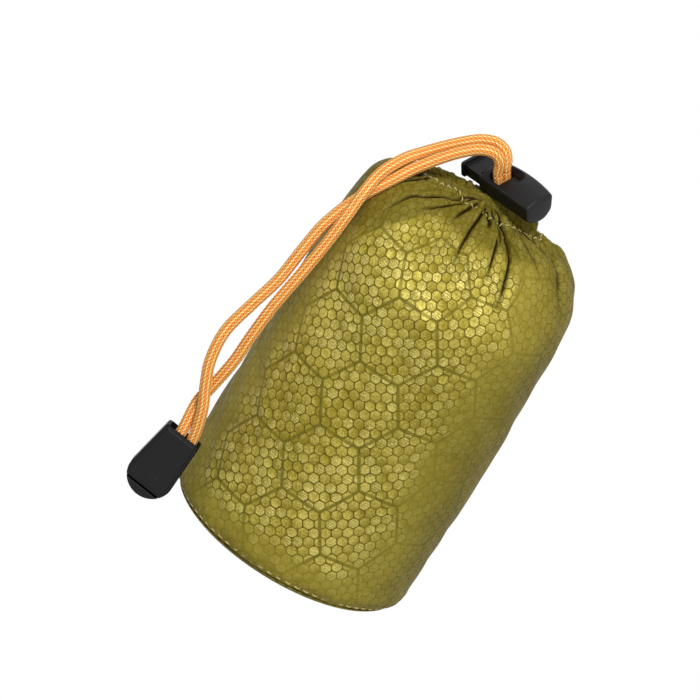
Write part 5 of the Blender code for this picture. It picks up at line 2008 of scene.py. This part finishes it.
@dataclass
class CordLock:
    """The sprung cord lock: a moulded body with a rimmed hole, the plunger in it, and its spring."""

    finishes: Finishes
    place: LockPlace
    spacing: float = 0.3 * MM
    mouth_edge: float = 0.3 * MM
    end_edge: float = 0.55 * MM
    end_swell: float = 0.12 * MM
    end_wall: float = 1.2 * MM
    axis_up: float = -2.3 * MM
    barrel: float = 1.3 * MM
    wall: float = 0.8 * MM
    cavity_low: float = -4.1 * MM
    cavity_high: float = -0.5 * MM
    hole_near: float = 2.6 * MM
    hole_far: float = 9.0 * MM
    hole_side: float = 1.6 * MM
    funnel: tuple[Span, ...] = (
        (-8.0, 0.0), (-0.75, 0.0), (-0.35, -0.08), (0.05, -0.28), (0.45, -0.62), (1.6, -1.5),
    )
    lip: tuple[Span, Span] = ((-2.0 * MM, 1.4 * MM), (1.0 * MM, 7.7 * MM))
    lip_layers: tuple[Span, ...] = ((-5.2, 0.15), (-5.05, 0.0), (-4.35, 0.0), (-4.2, 0.15))
    slot: tuple[Span, Span] = ((-1.35 * MM, -2.95 * MM), (5.75 * MM, 2.95 * MM))
    button_front: float = -8.1 * MM
    button_back: float = -6.6 * MM
    shaft_end: float = 9.5 * MM
    spring_start: float = 10.02 * MM
    spring_end: float = 17.98 * MM
    travel: float = 4.0 * MM
    wire: float = 0.22 * MM
    coil: float = 1.4 * MM
    coils: float = 6.0

    def section(self) -> Array:
        """The body's outline across its length: a crowned top, a sharp front ridge and a rounded keel."""
        corners = [
            (0.0, -4.4, 0.5),
            (2.8, -6.3, 1.3),
            (6.2, -6.3, 1.3),
            (8.7, -4.2, 1.2),
            (9.1, 0.2, 1.1),
            (0.0, 0.0, 0.6),
        ]
        outline = rounded_outline([tuple(value * MM for value in corner) for corner in corners], self.spacing)
        top = smooth_step(outline[:, 1], -0.9 * MM, -0.1 * MM)
        share = np.clip(outline[:, 0] / self.place.width, 0.0, 1.0)
        outline[:, 1] += self.place.crown * np.sin(math.pi * share) * top
        return outline

    def ring(self, outline: Array, along: float) -> Array:
        """The outline stood across the lock at a place along it."""
        return np.column_stack([np.full(len(outline), along), outline])

    def barrelled(self, outline: Array, along: float) -> Array:
        """The body's outline stood at a place along it, fuller at its back and top between the ends."""
        share = min(1.0, max(0.0, along / self.place.length))
        full = self.barrel * math.sin(math.pi * share) ** 0.6
        back = np.clip(outline[:, 0] / self.place.width, 0.0, 1.0) ** 1.5
        high = smooth_step(outline[:, 1], -5.0 * MM, 0.0)
        moved = outline + full * np.column_stack([0.7 * back * high, 0.75 * back * high])
        return self.ring(moved, along)

    def box(self, low: Span, high: Span, reaches: tuple[float, ...], steps: int = 7) -> Array:
        """A rectangle with rounded corners.

        Args:
            low: its lowest corner.
            high: its highest corner.
            reaches: how far from each corner its rounding starts, anticlockwise from the lowest.
            steps: how many points each corner has.

        Returns:
            The rectangle's points.
        """
        corners = (low, (high[0], low[1]), high, (low[0], high[1]))
        corners = [(*corner, reach) for corner, reach in zip(corners, reaches)]
        return rounded_outline(corners, self.spacing, steps)

    def stack(self, name: str, outline: Array, layers: tuple[Span, ...]) -> Object:
        """A solid that stands up from an outline, through pairs of height and inset in millimetres."""
        rings = [at_height(inset(outline, deep * MM), up * MM) for up, deep in layers]
        return ring_solid(name, rings, self.finishes.plastic)

    def make_body(self) -> None:
        """Make the body with its cavity, its lip and the hole that the cords go through."""
        plastic = self.finishes.plastic
        outline = self.section()
        rims = rounded_edge(self.mouth_edge, False)
        rings = [self.barrelled(inset(outline, deep), far) for deep, far in rims]
        length = self.place.length
        rings += [self.barrelled(outline, far) for far in np.linspace(1.0 * MM, length - 1.0 * MM, 18)]
        end = length - self.end_swell
        for deep, far in rounded_edge(self.end_edge, True):
            rings.append(self.barrelled(inset(outline, deep), end - far))
        middle = outline.mean(axis=0)
        for share, out in ((0.72, 0.08), (0.35, 0.12)):
            small = middle + (inset(outline, self.end_edge) - middle) * share
            rings.append(self.ring(small, end + out * MM))
        body = ring_solid("lock_body", rings, plastic)
        width, wall, side = self.place.width, self.wall, self.hole_side
        cavity = self.box((wall, self.cavity_low), (width - wall, self.cavity_high), (0.4 * MM,) * 4, 5)
        ends = (-1.0 * MM, length - self.end_wall)
        cut(body, ring_solid("cavity", [self.ring(cavity, along) for along in ends], plastic))
        hole = self.box((self.hole_near, side), (self.hole_far, width - side), (1.3 * MM,) * 4)
        cut(body, self.stack("hole", hole, self.funnel))
        lip = self.box(*self.lip, (0.8 * MM, 0.2 * MM, 0.2 * MM, 0.8 * MM))
        cut(body, self.stack("lip", lip, self.lip_layers), "UNION")
        settle(body, self.place.frame())
        mount(body, Body.SACK, Slot.PLASTIC, "cord_lock_body")

    def make_plunger(self) -> None:
        """Make the plunger: a pillowed button with a slotted shaft."""
        wide, low, high = 4.35 * MM, -2.2 * MM, 2.5 * MM
        button = self.box((-wide, low), (wide, high), (1.0 * MM, 1.0 * MM, 1.1 * MM, 1.1 * MM))
        shaft = button * 0.0
        half_wide, half_high = 3.55 * MM, 1.6 * MM
        shaft[:, 0] = np.clip(button[:, 0] / wide * 4.2 * MM, -half_wide, half_wide)
        shaft[:, 1] = np.clip((button[:, 1] - 0.15 * MM) / (2.35 * MM) * 2.0 * MM, -half_high, half_high)
        rings = [self.ring(button * 0.35, self.button_front), self.ring(inset(button, 1.0 * MM), -8.06 * MM)]
        for deep, far in rounded_edge(0.6 * MM, False):
            rings.append(self.ring(inset(button, deep), far - 7.98 * MM))
        for deep, far in rounded_edge(0.25 * MM, True, 4):
            rings.append(self.ring(inset(button, deep), self.button_back - far))
        rings.append(self.ring(inset(shaft, -0.2 * MM), self.button_back))
        rings += [self.ring(shaft, far * MM) for far in np.linspace(-6.3, 9.2, 10)]
        rings.append(self.ring(shaft * 0.93, self.shaft_end))
        made = ring_solid("lock_plunger", rings, self.finishes.plastic)
        cut(made, self.stack("slot", self.box(*self.slot, (0.6 * MM,) * 4), ((-4.0, 0.0), (4.0, 0.0))))
        axis = Matrix.Translation((0.0, self.place.width / 2.0, self.axis_up))
        settle(made, self.place.frame() @ axis)
        mount(made, Body.PLUNGER, Slot.PLASTIC, "cord_lock_plunger")

    def make_spring(self) -> None:
        """Make the spring, a fixed coil of wire behind the plunger's shaft."""
        turn = np.linspace(0.0, self.coils * FULL_TURN, 145)
        wide, up = self.coil * np.cos(turn), self.coil * np.sin(turn)
        along = np.linspace(self.spring_start, self.spring_end, len(turn))
        local = np.column_stack([along, self.place.width / 2.0 + wide, self.axis_up + up])
        frame = self.place.frame()
        line = np.array([frame @ Vector(point) for point in local])
        made = tube_mesh("lock_spring", line, self.wire, self.finishes.steel, 8)
        mount(made, Body.SACK, Slot.STEEL, "cord_lock_spring")
        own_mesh(made)

    def make(self) -> None:
        """Make the body, the plunger and the spring."""
        self.make_body()
        self.make_plunger()
        self.make_spring()


@dataclass
class EndClip:
    """The hinged clip on the cord's ends: a base with a full round end, and a raised cover."""

    plastic: Material
    polished: Material
    place: ClipPlace
    top: float = 14.7 * MM
    half_top: float = 5.4 * MM
    round_end: float = 6.6 * MM
    half_thick: float = 2.6 * MM
    split: float = -3.7 * MM
    gap: float = 0.3 * MM
    wall: float = 1.0 * MM
    face: float = 0.7 * MM
    edge: float = 0.5 * MM
    raised: float = 0.2 * MM
    flat_enough: float = 0.93
    spacing: float = 0.35 * MM
    pieces: list[Object] = field(default_factory=list)

    def outline(self, deep: float = 0.0, low: float | None = None, high: float | None = None) -> Array:
        """The clip's front outline moved in by a depth, cut off straight below low or above high if given."""
        corners = []
        radius = self.round_end - deep
        if high is None:
            across, top, reach = self.half_top - deep, self.top - deep, 0.75 * MM - 0.3 * deep
            corners = [(across, top, reach), (-across, top, reach)]
            start = math.pi
        else:
            start = math.pi - math.asin((high - deep) / radius)
        end = 1.5 * math.pi if low is None else math.pi - math.asin((low + deep) / radius)
        turns = [start + (end - start) * step / 14 for step in range(15)]
        arc = [(radius * math.cos(turn), radius * math.sin(turn), 0.0) for turn in turns]
        mirrored = [(-x, y, reach) for x, y, reach in reversed(arc)]
        return rounded_corners(corners + arc + mirrored[low is None :])

    def layers(self, pairs: list[Span], **cut_off: float) -> list[Array]:
        """The outline at pairs of inset and height above the clip's middle."""
        like = self.outline(**cut_off)
        flat = [filled_in(self.outline(deep, **cut_off), self.spacing, like) for deep, _ in pairs]
        return [at_height(ring, up) for ring, (_, up) in zip(flat, pairs)]

    def face_edge(self, out: float) -> list[Span]:
        """Pairs of inset and height for the rounded rim of a face and the raised field inside it."""
        flat = out - self.raised
        pairs = [(deep, flat - far) for deep, far in rounded_edge(self.edge, True)]
        pairs += [(0.82 * MM, flat), (0.98 * MM, out - 0.04 * MM)]
        return pairs + [(deep * MM, out) for deep in (1.1, 1.6, 2.2)]

    def hollow(self, up: Span) -> Object:
        """A solid of the room inside, between two heights."""
        side = self.round_end - self.wall
        low = self.split + self.wall + 2.0 * self.gap
        corners = [
            (self.half_top - self.wall, self.top + self.wall, 0.0),
            (self.wall - self.half_top, self.top + self.wall, 0.0),
            (-side, 0.6 * MM, 1.5 * MM),
            (-side * 0.92, low, 0.9 * MM),
            (side * 0.92, low, 0.9 * MM),
            (side, 0.6 * MM, 1.5 * MM),
        ]
        outline = rounded_outline(corners, self.spacing)
        return ring_solid("hollow", [at_height(outline, height) for height in up], self.plastic)

    def polish(self, made: Object) -> None:
        """Give the sides and the rounded rims the polished finish."""
        made.data.materials.clear()
        made.data.materials.append(self.plastic)
        made.data.materials.append(self.polished)
        for side in made.data.polygons:
            side.material_index = int(abs(side.normal.z) < self.flat_enough)

    def make_base(self) -> None:
        """Make the back half and the full-thickness end."""
        half = self.half_thick
        back = [(deep, -far) for deep, far in reversed(self.face_edge(half))]
        made = ring_solid("clip_back", self.layers(back + [(0.0, -self.gap / 2.0)]), self.plastic)
        pairs = [(0.02 * MM, self.face - half), (0.02 * MM, 1.0 * MM)]
        pairs += [(deep + 0.02 * MM, up) for deep, up in self.face_edge(half)[:5]]
        rings = self.layers(pairs, high=self.split - self.gap)
        cut(made, ring_solid("clip_end", rings, self.plastic), "UNION")
        cut(made, self.hollow((self.face - half, 0.5 * MM)))
        self.polish(made)
        settle(made, self.place.frame())
        self.pieces.append(mount(made, Body.SACK, Slot.PLASTIC, "clip_base"))

    def make_cover(self) -> None:
        """Make the front half, which swings down about the groove."""
        rings = self.layers([(0.0, self.gap / 2.0)] + self.face_edge(self.half_thick), low=self.split)
        made = ring_solid("clip_front", rings, self.plastic)
        cut(made, self.hollow((-0.5 * MM, self.half_thick - self.face)))
        self.polish(made)
        settle(made, self.place.frame())
        self.pieces.append(mount(made, Body.CLIP_COVER, Slot.PLASTIC, "clip_cover"))

    def make(self) -> None:
        """Make the base and the cover."""
        self.make_base()
        self.make_cover()


def write_sizes() -> None:
    """Write the CAD box and the dressed object's box as plain lists of numbers."""
    low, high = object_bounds()
    corners = [tuple(round(value, 4) for value in corner) for corner in (cad_low, cad_high, low, high)]
    log.info("sizes: CAD %s to %s, visual %s to %s", *corners)


def main() -> None:
    """Build the studio and every piece, the clip and the cords first, as the cloth lies round them."""
    Studio().make()
    finishes = Finishes()
    loop = HemLoop()
    clip = EndClip(finishes.plastic, finishes.polished, ClipPlace())
    clip.make()
    cord = Drawcord(LockPlace(), clip.place, clip.pieces, finishes.braid)
    cord.make()
    sack = Sack(finishes, loop, cord.lock, cord.lines)
    sack.make()
    cord.make_run(loop)
    PackedRoll(finishes.film).make()
    CordLock(finishes, cord.lock).make()
    write_sizes()


if __name__ == "__main__":
    main()
